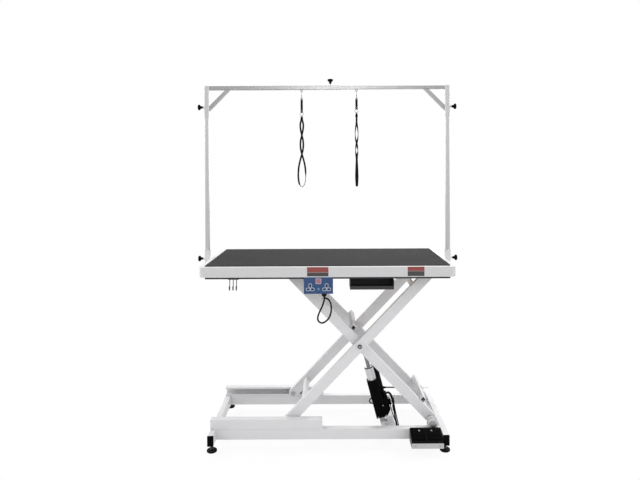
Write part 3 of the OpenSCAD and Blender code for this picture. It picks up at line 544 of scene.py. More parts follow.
def rubbery(name, colour):
    """Matte rubber, dusted in patches."""
    finish = Finish(name, colour, 0.7, Specular_IOR_Level=0.12)
    dust = finish.noise(55, 4, roughness=0.65)
    grain = finish.noise(1100, 2)
    finish.set(Base_Color=finish.shade(dust, 1, 0.005), Roughness=0.58 + 0.25 * dust)
    finish.bump(grain, 0.15, 0.6)


RIB_SLOPE = 1.7


def turns_every(pitch):
    """Radians per metre of a pattern that repeats at a pitch in millimetres."""
    return 2 * math.pi / mm(pitch)


def mat_rubber(name, colour):
    """Grooming mat: two crossing rows of ribs that leave small diamonds, with light specks."""
    finish = Finish(name, colour, 0.85, Specular_IOR_Level=0.12)
    x, slant = finish.axis("X"), finish.axis("Y") * RIB_SLOPE
    rib = ((x + slant) * turns_every(8.5)).sine().size()
    cross = ((x - slant) * turns_every(8.5)).sine().size()
    height = (rib * cross).clamped()
    speck = finish.noise(700, 3, roughness=0.7)
    wear = finish.noise(3.2, 3)
    mix = (height * 0.35 + speck * 0.35 + wear * 0.3 - 0.1).clamped()
    finish.set(Base_Color=finish.shade(mix, 1.4), Roughness=0.72 + 0.2 * speck)
    finish.bump(height * 0.8 + speck * 0.2, 0.7, 0.7)


def plywood(name, colour):
    """Plywood face: long grain along the table."""
    finish = Finish(name, colour, 0.6)
    grain = finish.noise(60, 5, (0.06, 1, 1), 0.6)
    pores = finish.noise(420, 2, (0.05, 1, 1))
    finish.set(Base_Color=finish.shade(grain * 0.7 + pores * 0.3, 0.5), Roughness=0.5 + 0.2 * pores)
    finish.bump(pores, 0.2, 0.4)


def woven(name, colour):
    """Webbing: picks across and ends along, read from the piece's own map in metres."""
    finish = Finish(name, colour, 0.75, Specular_IOR_Level=0.1)
    finish.coordinates = finish.node("ShaderNodeTexCoord").outputs["UV"]
    along, across = finish.axis("X"), finish.axis("Y")
    pick, end = (along * turns_every(1.6)).sine(), (across * turns_every(1.2)).sine()
    height = (pick * end * 0.5 + 0.5).clamped()
    fuzz = finish.noise(2600, 2)
    finish.set(
        Base_Color=finish.shade(height * 0.7 + fuzz * 0.3, 1, 0.01), Roughness=0.68 + 0.2 * fuzz
    )
    finish.bump(height, 0.3, 0.8)


def two_tone(name, top, bottom, split):
    """A plain two-colour plate with a thin pale line between its bands."""
    finish = Finish(name, top, 0.35, Coat_Weight=0.1)
    height = finish.axis("Z")
    low = height < split
    line = (height - split).size() < mm(0.9)
    scuff = finish.noise(90, 4, roughness=0.7)
    ruled = finish.blend(line, finish.blend(low, top, bottom), PLATE_LINE)
    worn = finish.blend(scuff * 0.05, ruled, PLATE_SCUFF)
    finish.set(Base_Color=worn, Roughness=0.28 + 0.3 * scuff)


class GROOMING_OT_finishes(bpy.types.Operator):
    """Makes the table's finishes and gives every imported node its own"""

    bl_idname = "grooming.finishes"
    bl_label = "Finishes"

    def execute(self, context):
        tone = context.scene.grooming_colours
        powder_coat("frame_paint", tone.frame, 0.42)
        # The edge's finish is a darker copy of the frame's white coat: painted shade on the table's
        # edge
        powder_coat("edge_paint", tone.edge, 0.42)
        powder_coat("dark_paint", tone.dark, 0.45)
        brushed("steel_upright", tone.steel, 0.3, (1, 1, 0.012))
        # A shaded copy of the posts' steel for the cross bar; its darker tone is painted shade
        brushed("steel_level", tone.bar, 0.28, (0.012, 1, 1))
        # A shaded copy of the posts' steel for the corner braces; its darker tone is painted shade
        brushed("steel_brace", tone.brace, 0.3, (1, 1, 0.03))
        brushed("steel_strip", tone.steel, 0.32, (0.03, 1, 1), 1400)
        plated("zinc", tone.zinc, 0.32)
        plated("chrome", tone.chrome, 0.1)
        brushed("ribbed_tube", tone.aluminium, 0.28, (1, 1, 0.02), 1300)
        moulded("black_plastic", tone.plastic, 0.5, shine=0.03)
        moulded("gloss_black", tone.plastic, 0.3, gloss=0.02, shine=0.05)
        rubbery("rubber", tone.rubber)
        mat_rubber("mat_rubber", tone.mat)
        plywood("plywood", tone.board)
        moulded("blue_plastic", tone.blue, 0.3, 900, 0.06, 0.4)
        moulded("red_plastic", tone.red, 0.28, 900, 0.06, 0.5)
        moulded("print_white", tone.print_white, 0.4, 900, 0.04)
        moulded("print_grey", tone.print_grey, 0.5, 900, 0.04)
        moulded("pale_cap", tone.lens, 0.25, 700, 0.04, 0.5)
        moulded("pale_bezel", tone.bezel, 0.3, 700, 0.04, 0.4)
        woven("webbing", tone.web)
        for name, *_, split in PLATES:
            two_tone(name, PLATE_RED, PLATE_BLACK, mm(split))
        for node, slot in NODE_SLOT.items():
            slots = NODES[node].data.materials
            slots.clear()
            slots.append(FINISHES[SLOT_FINISH.get(slot, slot)])
        return {"FINISHED"}


# The record's slots whose finish has another name here
SLOT_FINISH = {
    "stainless": "steel_upright",
    "pin_steel": "zinc",
    "bright_chrome": "chrome",
    "tube_aluminium": "ribbed_tube",
    "foot_rubber": "rubber",
    "cable_rubber": "rubber",
    "board_wood": "plywood",
}
NODE_SLOT = {part["node"]: part["material_slot"] for part in frame["record"]["subparts"]}


# The stage

class GROOMING_OT_stage(bpy.types.Operator):
    """Sets the camera at the photograph's place, the floor, the world and the lamps"""

    bl_idname = "grooming.stage"
    bl_label = "Camera, floor and light"

    def execute(self, context):
        camera_add()
        floor_add()
        world_light()
        for name, place, size, energy in LAMPS:
            lamp_add(name, place, size, energy)
        context.scene.view_settings.view_transform = "Standard"
        return {"FINISHED"}


# Focal length and the frame's shift are in pixels of the photograph
FOCAL_PIXELS = 566.5
LENS_SHIFT = (-9.4, -68.7)
CAMERA_PLACE = (0.011, -3.06, 1.380)
CAMERA_ROLL = math.radians(0.26)
WHITE = (1, 1, 1, 1)
LAMP_AIM = Vector((0, 0, 0.85))
SKY_LEVEL = 0.66
FLOOR_WHITE = (0.86, 0.86, 0.86, 1)
# The floor's share of plain white at the middle, and where it grows to all, in metres
WHITE_SHARE, FADE_STARTS, FADE_ENDS = 0.9, 0.3, 1.1
# Name, place, size in metres and power in watts
LAMPS = (
    ("left_lamp", (-3.6, -2.2, 2.4), 1.8, 36),
    ("right_lamp", (3.6, -2.2, 2.2), 1.8, 32),
    ("front_lamp", (0.1, -3.9, 2.5), 1.1, 14),
    ("top_lamp", (0.3, 0.5, 3.9), 2.6, 34),
    ("back_lamp", (0.6, 3.4, 2.2), 2.4, 26),
    ("left_rear_lamp", (-2.6, 0.7, 2.6), 1.2, 46),
    ("right_rear_lamp", (2.6, 0.7, 2.6), 1.2, 46),
)


def camera_add():
    """The camera, level but for a slight roll, with its centre off the lens axis."""
    clear_selection()
    bpy.ops.object.camera_add(
        location=CAMERA_PLACE, rotation=(math.radians(90), CAMERA_ROLL, 0)
    )
    camera = bpy.context.object
    camera.name = "camera"
    camera.data.sensor_width = SENSOR_WIDTH
    camera.data.sensor_fit = "HORIZONTAL"
    camera.data.lens = FOCAL_PIXELS / PHOTO_WIDTH * SENSOR_WIDTH
    camera.data.shift_x, camera.data.shift_y = (v / PHOTO_WIDTH for v in LENS_SHIFT)
    bpy.context.scene.camera = camera


def floor_add():
    """A pale floor that holds the shadow near the feet and fades into the white far off."""
    clear_selection()
    bpy.ops.mesh.primitive_plane_add(size=60)
    floor = bpy.context.object
    floor.name = floor.data.name = "floor"
    finish = Finish("floor_white", FLOOR_WHITE, 0.9)
    place = finish.node("ShaderNodeVectorMath", {"operation": "LENGTH"})
    finish.feed(place.inputs[0], finish.coordinates)
    away = finish.node(
        "ShaderNodeMapRange", {"interpolation_type": "SMOOTHSTEP"},
        Value=place.outputs[1], From_Min=FADE_STARTS, From_Max=FADE_ENDS, To_Min=WHITE_SHARE,
    )
    white = finish.node("ShaderNodeEmission", Color=WHITE, Strength=1.0)
    share = Value(finish, away.outputs[0]) * finish.see_white()
    mixed = finish.node("ShaderNodeMixShader")
    for socket, value in zip(mixed.inputs, (share, finish.shader.outputs[0], white.outputs[0])):
        finish.feed(socket, value)
    finish.feed(finish.tree.nodes["Material Output"].inputs[0], mixed.outputs[0])
    floor.data.materials.append(finish.material)


def world_light():
    """A plain soft sky, seen as white."""
    world = bpy.context.scene.world = bpy.data.worlds.new("studio")
    world.use_nodes = True
    nodes = Nodes(world.node_tree)
    strength = nodes.see_white() * (1 - SKY_LEVEL) + SKY_LEVEL
    sky = nodes.tree.nodes["Background"]
    for name, value in (("Color", WHITE), ("Strength", strength)):
        nodes.feed(sky.inputs[name], value)


def lamp_add(name, place, size, energy):
    """A square soft lamp that looks at the table."""
    clear_selection()
    aim = LAMP_AIM - Vector(place)
    bpy.ops.object.light_add(
        type="AREA", location=place, rotation=aim.to_track_quat("-Z", "Y").to_euler()
    )
    lamp = bpy.context.object
    lamp.name = lamp.data.name = name
    lamp.data.size = size
    lamp.data.energy = energy


# Cords and cables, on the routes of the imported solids, in millimetres

EDGE_Z = 868.113
# From the gland under the socket box; heights are above the edge frame's lower side
CORD_ROUTE = [
    (-17, -301, -98), (-17, -301, -108), (-19, -301, -122), (-24, -301, -138), (-31, -301, -155),
    (-39, -301, -171), (-45, -300, -186), (-49, -299, -202), (-46, -298, -217), (-36, -297, -226),
    (-23, -296, -227), (-10, -295, -220), (2, -294, -209), (10, -292, -195), (15, -290, -179),
    (17, -288, -161), (16, -286, -144), (12, -284, -130), (5, -281, -119), (-3, -277, -114),
    (-11, -271, -113), (-16, -264, -108), (-18, -258, -97), (-18, -256, -84), (-17, -256, -67),
    (-16, -256, -47), (-16, -256, -25), (-16, -256, 0), (-16, -256, 31),
]
CABLE_ROUTE = [
    (301, -80, 200), (301, -80, 206), (304, -80, 211), (311, -80, 214), (319, -80, 212),
    (326, -81, 205), (331, -84, 194), (335, -88, 180), (338, -94, 164), (341, -103, 147),
    (343, -115, 128), (345, -130, 111), (348, -147, 96), (350, -164, 85), (352, -180, 79),
    (353, -193, 77),
]
LOOP_ROUTE = [
    (303, -66, 199), (305, -66, 207), (312, -66, 213), (321, -67, 212), (330, -69, 204),
    (337, -72, 190), (342, -77, 172), (346, -85, 152), (349, -97, 133), (352, -112, 115),
    (355, -130, 100), (357, -149, 90), (358, -170, 84), (358, -193, 82),
]
LOW_ROUTE = [
    (311, -66, 184), (316, -67, 183), (321, -69, 176), (325, -73, 162), (328, -79, 145),
    (332, -88, 127), (337, -100, 111), (342, -116, 98), (346, -136, 89), (348, -160, 83),
    (349, -193, 80),
]
# Name, upper end, direction, radius and length
CONNECTORS = (
    ("cable_connector", (339.5, -97.5, 158), (2.6, -10, -18), 7.2, 30),
    ("loop_connector", (338, -73, 187), (6, -8, -30), 6.2, 26),
    ("low_connector", (319.5, -68.5, 178), (6, -6, -24), 7.4, 30),
)


def route_length(points):
    """The length of a route."""
    return sum((b - a).length for a, b in zip(points, points[1:]))


def cord_piece(name, points, diameter, body, replaced=None):
    """A free cord on a smooth curve; its length is worked out but not kept."""
    cord = wire(name, points, diameter / 2, WIRE_SIDES)
    cord.data.materials.append(FINISHES["rubber"])
    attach(cord, body)
    if replaced:
        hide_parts(replaced)
    route_length(points)


def inline_plug(name, place, direction, radius, long):
    """An in-line connector on a cable: two halves with a groove between them."""
    half = long / 2
    plug = turned(
        name,
        [(3.6, 0), (radius, 1.6), (radius, half - 1.2), (radius - 1.2, half - 0.6),
         (radius - 1.2, half + 0.6), (radius, half + 1.2), (radius, long - 1.6), (3.6, long)],
        mm(*place), direction, 24,
    )
    return plug.paint("black_plastic").done("base", "cable_rubber")


class GROOMING_OT_cords(bpy.types.Operator):
    """Hangs the socket box's cord and the actuator's three cables"""

    bl_idname = "grooming.cords"
    bl_label = "Cords"

    def execute(self, context):
        sizes = context.scene.grooming_sizes
        route = [mm(x, y, z + EDGE_Z) for x, y, z in CORD_ROUTE]
        cord_piece("socket_box_cord", route, sizes.cord_width, "table", "socket_cord")
        main, loop, low = (inline_plug(*connector) for connector in CONNECTORS)
        thick, thin = sizes.lead_width, sizes.strand_width
        for name, points, width, replaced, plug in (
            ("actuator_supply_cable", CABLE_ROUTE, thick, "actuator_cable", main),
            ("actuator_loop_cable", LOOP_ROUTE, thin, None, loop),
            ("actuator_low_cable", LOW_ROUTE, thin, None, low),
        ):
            route = [mm(*point) for point in points]
            cord_piece(name, route, width, "base", replaced)
        return {"FINISHED"}


# Leashes, in millimetres: one side of each loop, from its ring down to its lowest point

LEFT_HALF = [
    (1, 1.7, -2.2), (2.5, 2.6, -20), (8, 4, -46), (6, 5, -74), (0, 6, -102), (-6, 5, -128),
    (-8, 2, -152), (-6, -5, -178), (0, -7, -204), (8, -6, -232), (15, -3, -262), (19, 0, -294),
    (20, 0, -328), (16, 0, -360), (9, 0, -376), (0, 0, -381),
]
RIGHT_HALF = [
    (0, 2, -2.2), (0, 3, -20), (0, 4, -44), (2, 4, -62), (6, 3, -86), (8, 0, -112),
    (6, -4, -138), (1, -6, -160), (-4, -4, -182), (-6, 1, -206), (-3, 6, -228), (0, 10, -250),
    (0, 15, -276), (0, 19, -306), (0, 20, -340), (0, 15, -374), (0, 8, -391), (0, 0, -396),
]
# Each leash's side, place along the table, height of its eyelet's wire, loop, and if it is padded
LEASHES = (
    ("left", -137, 1807.85, LEFT_HALF, False),
    ("right", 159, 1809.35, RIGHT_HALF, True),
)
STRAPS = {"left": 76.0, "right": 61.0}
# Below the eyelet's wire: the strap's drawn top, and the top that its length counts from
STRAP_TOP, STRAP_DROP = 32.6, 36.0
RING_SPAN = 17.0
SLIDER_DROP = 16.0
# Heights between which a loop changes: it bends round its lowest part, the left one turns
# its face to the front above it, and the right one grows into its pad and thins out again
BEND_ABOVE = 40.0
TURN_DOWN, TURN_UP = (-288, -330), (-354, -379)
PAD_STARTS, PAD_ENDS = (-235, -335), (-352, -396)
PAD_EXTRA = 1.6


def both_halves(half):
    """A leash loop's route: one side down and the other, turned half round, up."""
    return half + [(-x, -y, z) for x, y, z in half[-2::-1]]


def smooth_route(points, per_span=4):
    """Points of a smooth curve through a route, with some between each two."""
    out = []
    for i, (a, b) in enumerate(zip(points, points[1:])):
        before = points[max(i - 1, 0)]
        after = points[min(i + 2, len(points) - 1)]
        for step in range(per_span):
            t = step / per_span
            out.append(
                0.5 * (2 * a + (b - before) * t + (2 * before - 5 * a + 4 * b - after) * t ** 2
                       + (3 * a - before - 3 * b + after) * t ** 3)
            )
    return out + [points[-1]]


def web_section(width, thick):
    """Half sizes round a webbing's section: flat sides and rounded selvedges."""
    flat, round_off = width / 2 - thick / 2, thick / 2
    half = [
        (flat + round_off * math.cos(t), round_off * math.sin(t))
        for t in (math.radians(a) for a in (-90, -45, 0, 45, 90))
    ] + [(flat / 3, round_off), (-flat / 3, round_off)]
    return half + [(-x, -y) for x, y in half]


def webbing_mesh(name, route, outward, sections):
    """A strip of webbing along a route, with a map in metres for its weave."""
    mesh = bmesh.new()
    uv = mesh.loops.layers.uv.new("weave")
    rings, run, place = [], 0.0, []
    for i, (point, out) in enumerate(zip(route, outward)):
        ahead = (route[min(i + 1, len(route) - 1)] - route[max(i - 1, 0)]).normalized()
        side = ahead.cross(out).normalized()
        normal = side.cross(ahead)
        rings.append([mesh.verts.new(point + side * a + normal * b) for a, b in sections[i]])
        run += (point - route[i - 1]).length if i else 0.0
        place.append(run)
    count = len(rings[0])
    girth = [0.0]
    for a, b in zip(sections[0], sections[0][1:] + sections[0][:1]):
        girth.append(girth[-1] + math.dist(a, b))
    for i in range(len(rings) - 1):
        for k in range(count):
            corners = ((i, k), (i + 1, k), (i + 1, k + 1), (i, k + 1))
            face = mesh.faces.new([rings[u][v % count] for u, v in corners])
            for loop, (u, v) in zip(face.loops, corners):
                loop[uv].uv = (place[u], girth[v])
    for ring in (rings[0], rings[-1][::-1]):
        mesh.faces.new(ring)
    bmesh.ops.recalc_face_normals(mesh, faces=mesh.faces)
    data = bpy.data.meshes.new(name)
    mesh.to_mesh(data)
    mesh.free()
    return link_new(name, data)


def ramp(value, start, stop):
    """0 at start and 1 at stop, held beyond them."""
    return min(max((value - start) / (stop - start), 0), 1)


def facing(points, bend, turned_front):
    """The flat side's direction along a loop: away from its axis, or to the front higher up."""
    out = []
    for i, p in enumerate(points):
        away = Vector((p.x, p.y, min(p.z - bend, 0))).normalized()
        if turned_front:
            start, stop = TURN_DOWN if i < len(points) / 2 else TURN_UP
            away = Vector((0, -1, 0)).lerp(away, ramp(p.z, start, stop)).normalized()
        out.append(away)
    return out


def leash_loop(name, half, place, width, thick, pad):
    """A twisted webbing loop on its ring; pad is the width of its padded lower part, if any."""
    points = smooth_route([Vector(p) for p in both_halves(half)])
    bend = half[-1][2] + BEND_ABOVE
    sections = []
    for p in points:
        wide, deep = width, thick
        if pad:
            share = ramp(p.z, *PAD_STARTS) - 0.6 * ramp(p.z, *PAD_ENDS)
            wide, deep = width + (pad - width) * share, thick + PAD_EXTRA * share
        sections.append([(mm(a), mm(b)) for a, b in web_section(wide, deep)])
    route = [place + p * 0.001 for p in points]
    obj = webbing_mesh(name, route, facing(points, bend, not pad), sections)
    obj.data.materials.append(FINISHES["webbing"])
    return obj, route


class GROOMING_OT_leashes(bpy.types.Operator):
    """Makes the two leashes: strap, ring, slider and twisted webbing loop"""

    bl_idname = "grooming.leashes"
    bl_label = "Leashes"

    def execute(self, context):
        sizes = context.scene.grooming_sizes
        width, thick = sizes.web_width * 1000, sizes.web_thick * 1000
        for side, x, snap_z, half, padded in LEASHES:
            pad = sizes.pad_width * 1000 if padded else None
            ring = mm(x, 0, snap_z - STRAP_DROP - STRAPS[side] - RING_SPAN)
            loop, route = leash_loop(f"leash_webbing_{side}", half, ring, width, thick, pad)
            pick_object(loop)
            bpy.ops.object.shade_smooth_by_angle(angle=math.radians(50))
            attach(loop, f"leash_{side}")
            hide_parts(f"leash_{side}")
            route_length(route)
            mm(pad or width)
            strap_add(side, mm(x), mm(snap_z))
            slider_add(side, ring - mm(0, 0, SLIDER_DROP))
        return {"FINISHED"}


def strap_add(side, x, z):
    """The doubled strap with stitches and rivets, and the ring under it."""
    top = z - mm(STRAP_TOP)
    low = top - mm(STRAPS[side] + 2)
    wide, deep = mm(6.2), mm(2.9)
    strap = block(
        f"leash_strap_{side}", (x - wide, -deep, low), (x + wide, deep, top), mm(2.2), 4
    )
    strap.select("FACE", lambda p, n: abs(n.y) > 0.9)
    strap.shape("inset", thickness=mm(1.2), depth=0)
    strap.shape("inset", thickness=mm(0.7), depth=-mm(0.5))
    strap.paint("webbing")
    strap_map(strap.obj)
    strap.done(f"leash_{side}", "webbing", f"strap_{side}", smooth=50)
    ring_centre = Vector((x, 0, low - mm(8.2)))
    ring = wire_piece(
        f"leash_ring_{side}", arc(ring_centre, mm(9), 0, 345, ALONG, UP, 24), mm(1.6), cyclic=True
    )
    collar = turned(
        f"leash_collar_{side}", [(4.6, 0), (6.6, 0.5), (6.6, 5.5), (4.6, 6)],
        (x, 0, top - mm(6.5)), UP, 24,
    )
    rivets = [
        turned(
            f"leash_rivet_{side}_{i}", [(2.4, 0), (2.4, 0.5), (1.6, 1.0)],
            (x, -mm(2.8), low + mm(drop)), FRONT, 16,
        )
        for i, drop in enumerate((9, STRAPS[side] - 8))
    ]
    ring.join(collar, *rivets)
    ring.paint("chrome").done(f"leash_{side}", "bright_chrome", smooth=40)


def strap_map(obj):
    """A weave map for a strap: height along, width across, in metres."""
    layer = obj.data.uv_layers.active or obj.data.uv_layers.new(name="weave")
    for face in obj.data.polygons:
        for corner in face.loop_indices:
            place = obj.data.vertices[obj.data.loops[corner].vertex_index].co
            layer.data[corner].uv = (place.z, place.x + place.y)


def slider_add(side, place):
    """The small tube that gathers the loop under its ring."""
    half = mm(6.6, 5, 7)
    slider = block(f"leash_slider_{side}", place - half, place + half, mm(2.2), 3)
    slider.select("FACE", lambda p, n: abs(n.z) > 0.9)
    slider.shape("inset", thickness=mm(1.2), depth=-mm(3))
    slider.paint("black_plastic").done(f"leash_{side}", "webbing", smooth=50)


class GROOMING_OT_snaps(bpy.types.Operator):
    """Makes the two spring hooks with their swivels"""

    bl_idname = "grooming.snaps"
    bl_label = "Spring hooks"

    def execute(self, context):
        for side, x, z, *_ in LEASHES:
            snap_add(side, mm(x, 0, z))
        return {"FINISHED"}


SNAP_HALF = mm(5)
SNAP_WIRE = mm(1.95)


def snap_add(side, wire_centre):
    """A trigger snap: bow over the eyelet, gate with its thumb stud, barrel and swivel eye."""
    x, _, z = wire_centre
    bow = arc(wire_centre - mm(0, 0, 0.7), SNAP_HALF, 0, 180, BACK, UP, 13)
    rear = [Vector((x, SNAP_HALF, z - mm(d))) for d in (20, 14, 7)]
    front = [Vector((x, -SNAP_HALF, z - mm(d))) for d in (3.5, 7)]
    hook = wire_piece(f"snap_hook_{side}", rear + bow + front, SNAP_WIRE)
    low = [Vector((x, -SNAP_HALF, z - mm(12)))]
    low += arc(wire_centre - mm(0, 0, 16), SNAP_HALF, 180, 360, BACK, UP, 11)
    frame_wire = wire_piece(f"snap_base_{side}", low, SNAP_WIRE)
    gate = block(
        f"snap_gate_{side}", wire_centre - mm(1.6, 6.7, 15), wire_centre + mm(1.6, -3.5, -5.5),
        mm(0.8),
    )
    stud = turned(
        f"snap_stud_{side}", [(1.3, 0), (1.3, 2), (1.9, 2.6), (1.9, 3.4), (1.2, 4)],
        wire_centre - mm(0, 5.8, 11), FRONT, 16,
    )
    barrel = turned(
        f"snap_barrel_{side}",
        [(2.6, -33), (5, -32), (5, -29), (3.2, -28), (2.2, -27), (2.2, -25.5), (3.7, -25),
         (3.7, -20.5), (2.6, -19.5)],
        wire_centre, UP, 24,
    )
    hook.join(frame_wire, gate, stud, barrel)
    hook.paint("chrome").done(f"snap_{side}", "bright_chrome", f"snap_{side}", smooth=40)


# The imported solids, dressed

NODE_BODY = {
    node: body for body, nodes in frame["record"]["behaviour"]["bodies"].items() for node in nodes
}


def dressed(node, width=None, segments=2):
    """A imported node's copy with its sharp edges eased."""
    piece = Bench(node + "_dressed", node)
    return piece.ease(width, segments) if width else piece


def settle(piece, node, smooth=32):
    """Puts a dressed copy in its node's place."""
    return piece.done(NODE_BODY[node], NODE_SLOT[node], node, smooth=smooth)


def dress(node, width, *finishes, where=(), segments=2, smooth=32):
    """Dresses a node that needs only eased edges and its finishes."""
    settle(dressed(node, width, segments).paint(*finishes, where=where), node, smooth)


def dress_all(finish, width, *nodes, segments=2):
    """Dresses nodes of one finish."""
    for node in nodes:
        dress(node, width, finish, segments=segments)


BEAD_RADIUS = mm(1.7)
BEAD_STEP = mm(2)


def bead(name, start, end):
    """A weld bead: a wire whose thickness ripples at every step."""
    start, end = Vector(start), Vector(end)
    steps = max(1, round((end - start).length / BEAD_STEP))
    route = [start.lerp(end, i / steps) for i in range(steps + 1)]
    obj = wire(name, route, BEAD_RADIUS, 4, smooth=False)
    for i, knot in enumerate(obj.data.splines[0].points):
        knot.radius = 1.0 if i % 2 else 0.7
    return Bench(name, obj)


def weld_all(name, body, rows):
    """Several weld beads on one body."""
    first, *rest = [bead(f"{name}_{i}", *row) for i, row in enumerate(rows)]
    first.join(*rest).rename(name)
    first.paint("frame_paint").done(body, "frame_paint", smooth=60)


def front_frame(name, centre, *sizes):
    """A flat frame that faces the front: a plane with rounded corners, inset and given a wall.

    Its sizes in millimetres are width, height, border, corner and thickness.
    """
    width, height, border, corner, thick = (mm(size) for size in sizes)
    piece = Bench(name, "plane", size=1)
    piece.place(Matrix.Diagonal((width, height, 1, 1)))
    piece.whole("bevel", offset=corner, segments=4, affect="VERTICES")
    piece.select("FACE", lambda p, n: True).shape("inset", thickness=border, depth=0)
    piece.shape("delete", type="FACE")
    piece.modify("SOLIDIFY", thickness=thick, offset=1)
    return piece.place(Matrix.Translation(centre) @ Matrix.Rotation(math.radians(90), 4, "X"))


def screw_head(name, place, r):
    """A pan-head screw with a recess, of radius r in millimetres, that faces the front."""
    head = turned(
        name, [(r, 0), (r, r * 0.35), (r * 0.82, r * 0.62), (r * 0.5, r * 0.72)], (0, 0, 0), UP, 20
    )
    head.select("FACE", lambda p, n: n.z > 0.98 and p.z > mm(r * 0.7))
    head.shape("inset", thickness=mm(r * 0.06), depth=0)
    head.shape("inset", thickness=mm(0.1), depth=-mm(r * 0.4))
    return head.place(towards(place, FRONT))


def screws_add(name, places, radius, body, finish, slot):
    """A row of screws as one piece, named after the first."""
    first, *rest = [screw_head(f"{name}_{i}", p, radius) for i, p in enumerate(places)]
    first.join(*rest).paint(finish).done(body, slot)


class GROOMING_OT_base(bpy.types.Operator):
    """Dresses the base: end caps, rails, brackets, shaft, mount, feet and weld beads"""

    bl_idname = "grooming.base"
    bl_label = "Base"

    def execute(self, context):
        small = context.scene.grooming_sizes.small_round
        dress_all("frame_paint", small, "base_rails", "base_pivot_brackets", "actuator_mount")
        dress_all("frame_paint", None, "base_frame")
        dress_all("black_plastic", mm(1.2), "base_end_caps", segments=3)
        behind = lambda p: p.y > mm(20)
        dress("base_pivot_shaft", mm(0.9), "zinc", "frame_paint", where=(behind,))
        for node in (f"foot_{row}_{side}" for row in ("front", "rear") for side in SIDES):
            foot_dress(node)
        weld_all("base_welds", "base", base_weld_rows())
        return {"FINISHED"}


SIDES = ("left", "right")


def foot_dress(node):
    """A levelling foot: rubber disc, blackened stem and lock nut."""
    axis = middle(node)
    metal = lambda p: (p.xy - axis.xy).length < mm(11.8) and p.z > mm(14.9)
    dress(node, mm(0.8), "rubber", "dark_paint", where=(metal,))


def base_weld_rows():
    """Beads where brackets and rails stand on the beams, and the beams meet the cross tubes."""
    low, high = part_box("base_pivot_brackets")
    rail_low, rail_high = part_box("base_rails")
    tube_low, tube_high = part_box("base_frame")
    rows = []
    for side in (-1, 1):
        faces = (side * high.y, side * (high.y - mm(40)))
        for y in faces:
            rows.append([(low.x + mm(2), y, low.z), (high.x - mm(2), y, low.z)])
        for i in range(5):
            x, y = rail_low.x + mm(20 + i * 122), side * rail_high.y
            rows.append([(x, y, rail_low.z), (x + mm(30), y, rail_low.z)])
        for end in (-1, 1):
            x = end * (tube_high.x - mm(30))
            for y in faces:
                rows.append([(x, y, tube_low.z + mm(4)), (x, y, tube_high.z - mm(4))])
            rows.append([(x, side * mm(196), tube_high.z), (x, side * mm(230), tube_high.z)])
    return rows


# Foot pedal

PAD_SLOPE = math.radians(29.2488)
PAD_FOOT = (-311, 74)
PAD_FACE = 4.0


def on_pad(x):
    """The matrix from a pad's own place, as across, up the slope and out, to the table's."""
    return Matrix.Translation(mm(x, *PAD_FOOT)) @ Matrix.Rotation(PAD_SLOPE, 4, "X")


class GROOMING_OT_pedal(bpy.types.Operator):
    """Makes the foot pedal: rounded housing, ribbed pads with arrows, bright strip and screws"""

    bl_idname = "grooming.pedal"
    bl_label = "Foot pedal"

    def execute(self, context):
        low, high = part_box("pedal_housing")
        centre = (low.x + high.x) / 2
        housing = dressed("pedal_housing")
        side = (high.x - low.x) / 2 - mm(0.5)
        housing.select(
            "EDGE", lambda p, d: abs(p.x - centre) > side and abs(d.x) < 0.1 and p.z > mm(64)
        )
        housing.shape("bevel", offset=mm(5.2), segments=4, affect="EDGES")
        settle(housing.ease(mm(0.9)).paint("gloss_black"), "pedal_housing")
        dress("pedal_bracket", mm(0.7), "dark_paint")
        pad_dress("pedal_left", math.pi, 5)
        pad_dress("pedal_right", 0, -12)
        dress("pedal_trim", mm(0.6), "steel_strip")
        low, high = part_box("pedal_trim")
        places = [
            (x, low.y, (low.z + high.z) / 2) for x in (low.x + mm(19), high.x - mm(19))
        ]
        screws_add("pedal_screw", places, 3.6, "base", "zinc", "pin_steel")
        return {"FINISHED"}


def pad_dress(node, turn, aside):
    """One pad of the pedal with its grip ribs and its arrow, turned and aside of its middle."""
    frame_of_pad = on_pad(middle(node).x * 1000)
    ribs = []
    for i in range(4):
        low = mm(-27, 9 + i * 6.2, PAD_FACE - 0.4)
        rib = block(f"{node}_rib_{i}", low, low + mm(54, 2.6, 1.3), mm(0.5))
        ribs.append(rib.place(frame_of_pad))
    settle(dressed(node, mm(1.1), 3).join(*ribs).paint("black_plastic"), node)
    arrow = Bench(f"{node}_arrow", "circle", vertices=3, radius=mm(6.2), fill_type="NGON")
    arrow.place(Matrix.Rotation(turn, 4, "Z")).select("FACE", lambda p, n: True)
    arrow.shape("extrude_region_move", TRANSFORM_OT_translate={"value": mm(0, 0, 0.5)})
    arrow.whole("normals_make_consistent", inside=False)
    arrow.place(frame_of_pad @ Matrix.Translation(mm(aside, 49, PAD_FACE - 0.1)))
    arrow.ease(mm(0.2), 1).paint("print_grey").done(NODE_BODY[node], "black_plastic")


# Scissor lift

class GROOMING_OT_lift(bpy.types.Operator):
    """Dresses the scissor arms, their cross tubes, pins and rollers"""

    bl_idname = "grooming.lift"
    bl_label = "Scissor lift"

    def execute(self, context):
        sizes = context.scene.grooming_sizes
        dress_all(
            "frame_paint", sizes.tube_round, "inner_arm_front", "inner_arm_rear", "outer_arm_front",
            "outer_arm_rear", segments=3,
        )
        dress_all("frame_paint", None, "inner_cross_tubes", "outer_cross_tubes")
        dress("actuator_ears", sizes.small_round, "frame_paint")
        dress_all("zinc", mm(1), "lower_rollers", "upper_rollers")
        dress("centre_pins", mm(1), "dark_paint")
        pins = middle("centre_pins")
        caps = [
            turned(
                f"centre_cap_{side}", [(5.2, 0), (5.2, 0.5), (4, 1.2)],
                (pins.x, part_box("centre_pins")[side].y * 0.9995, pins.z), (0, side * 2 - 1, 0), 24,
            )
            for side in (0, 1)
        ]
        caps[0].join(caps[1]).paint("zinc").done("inner_arms", "pin_steel")
        return {"FINISHED"}


# Actuator

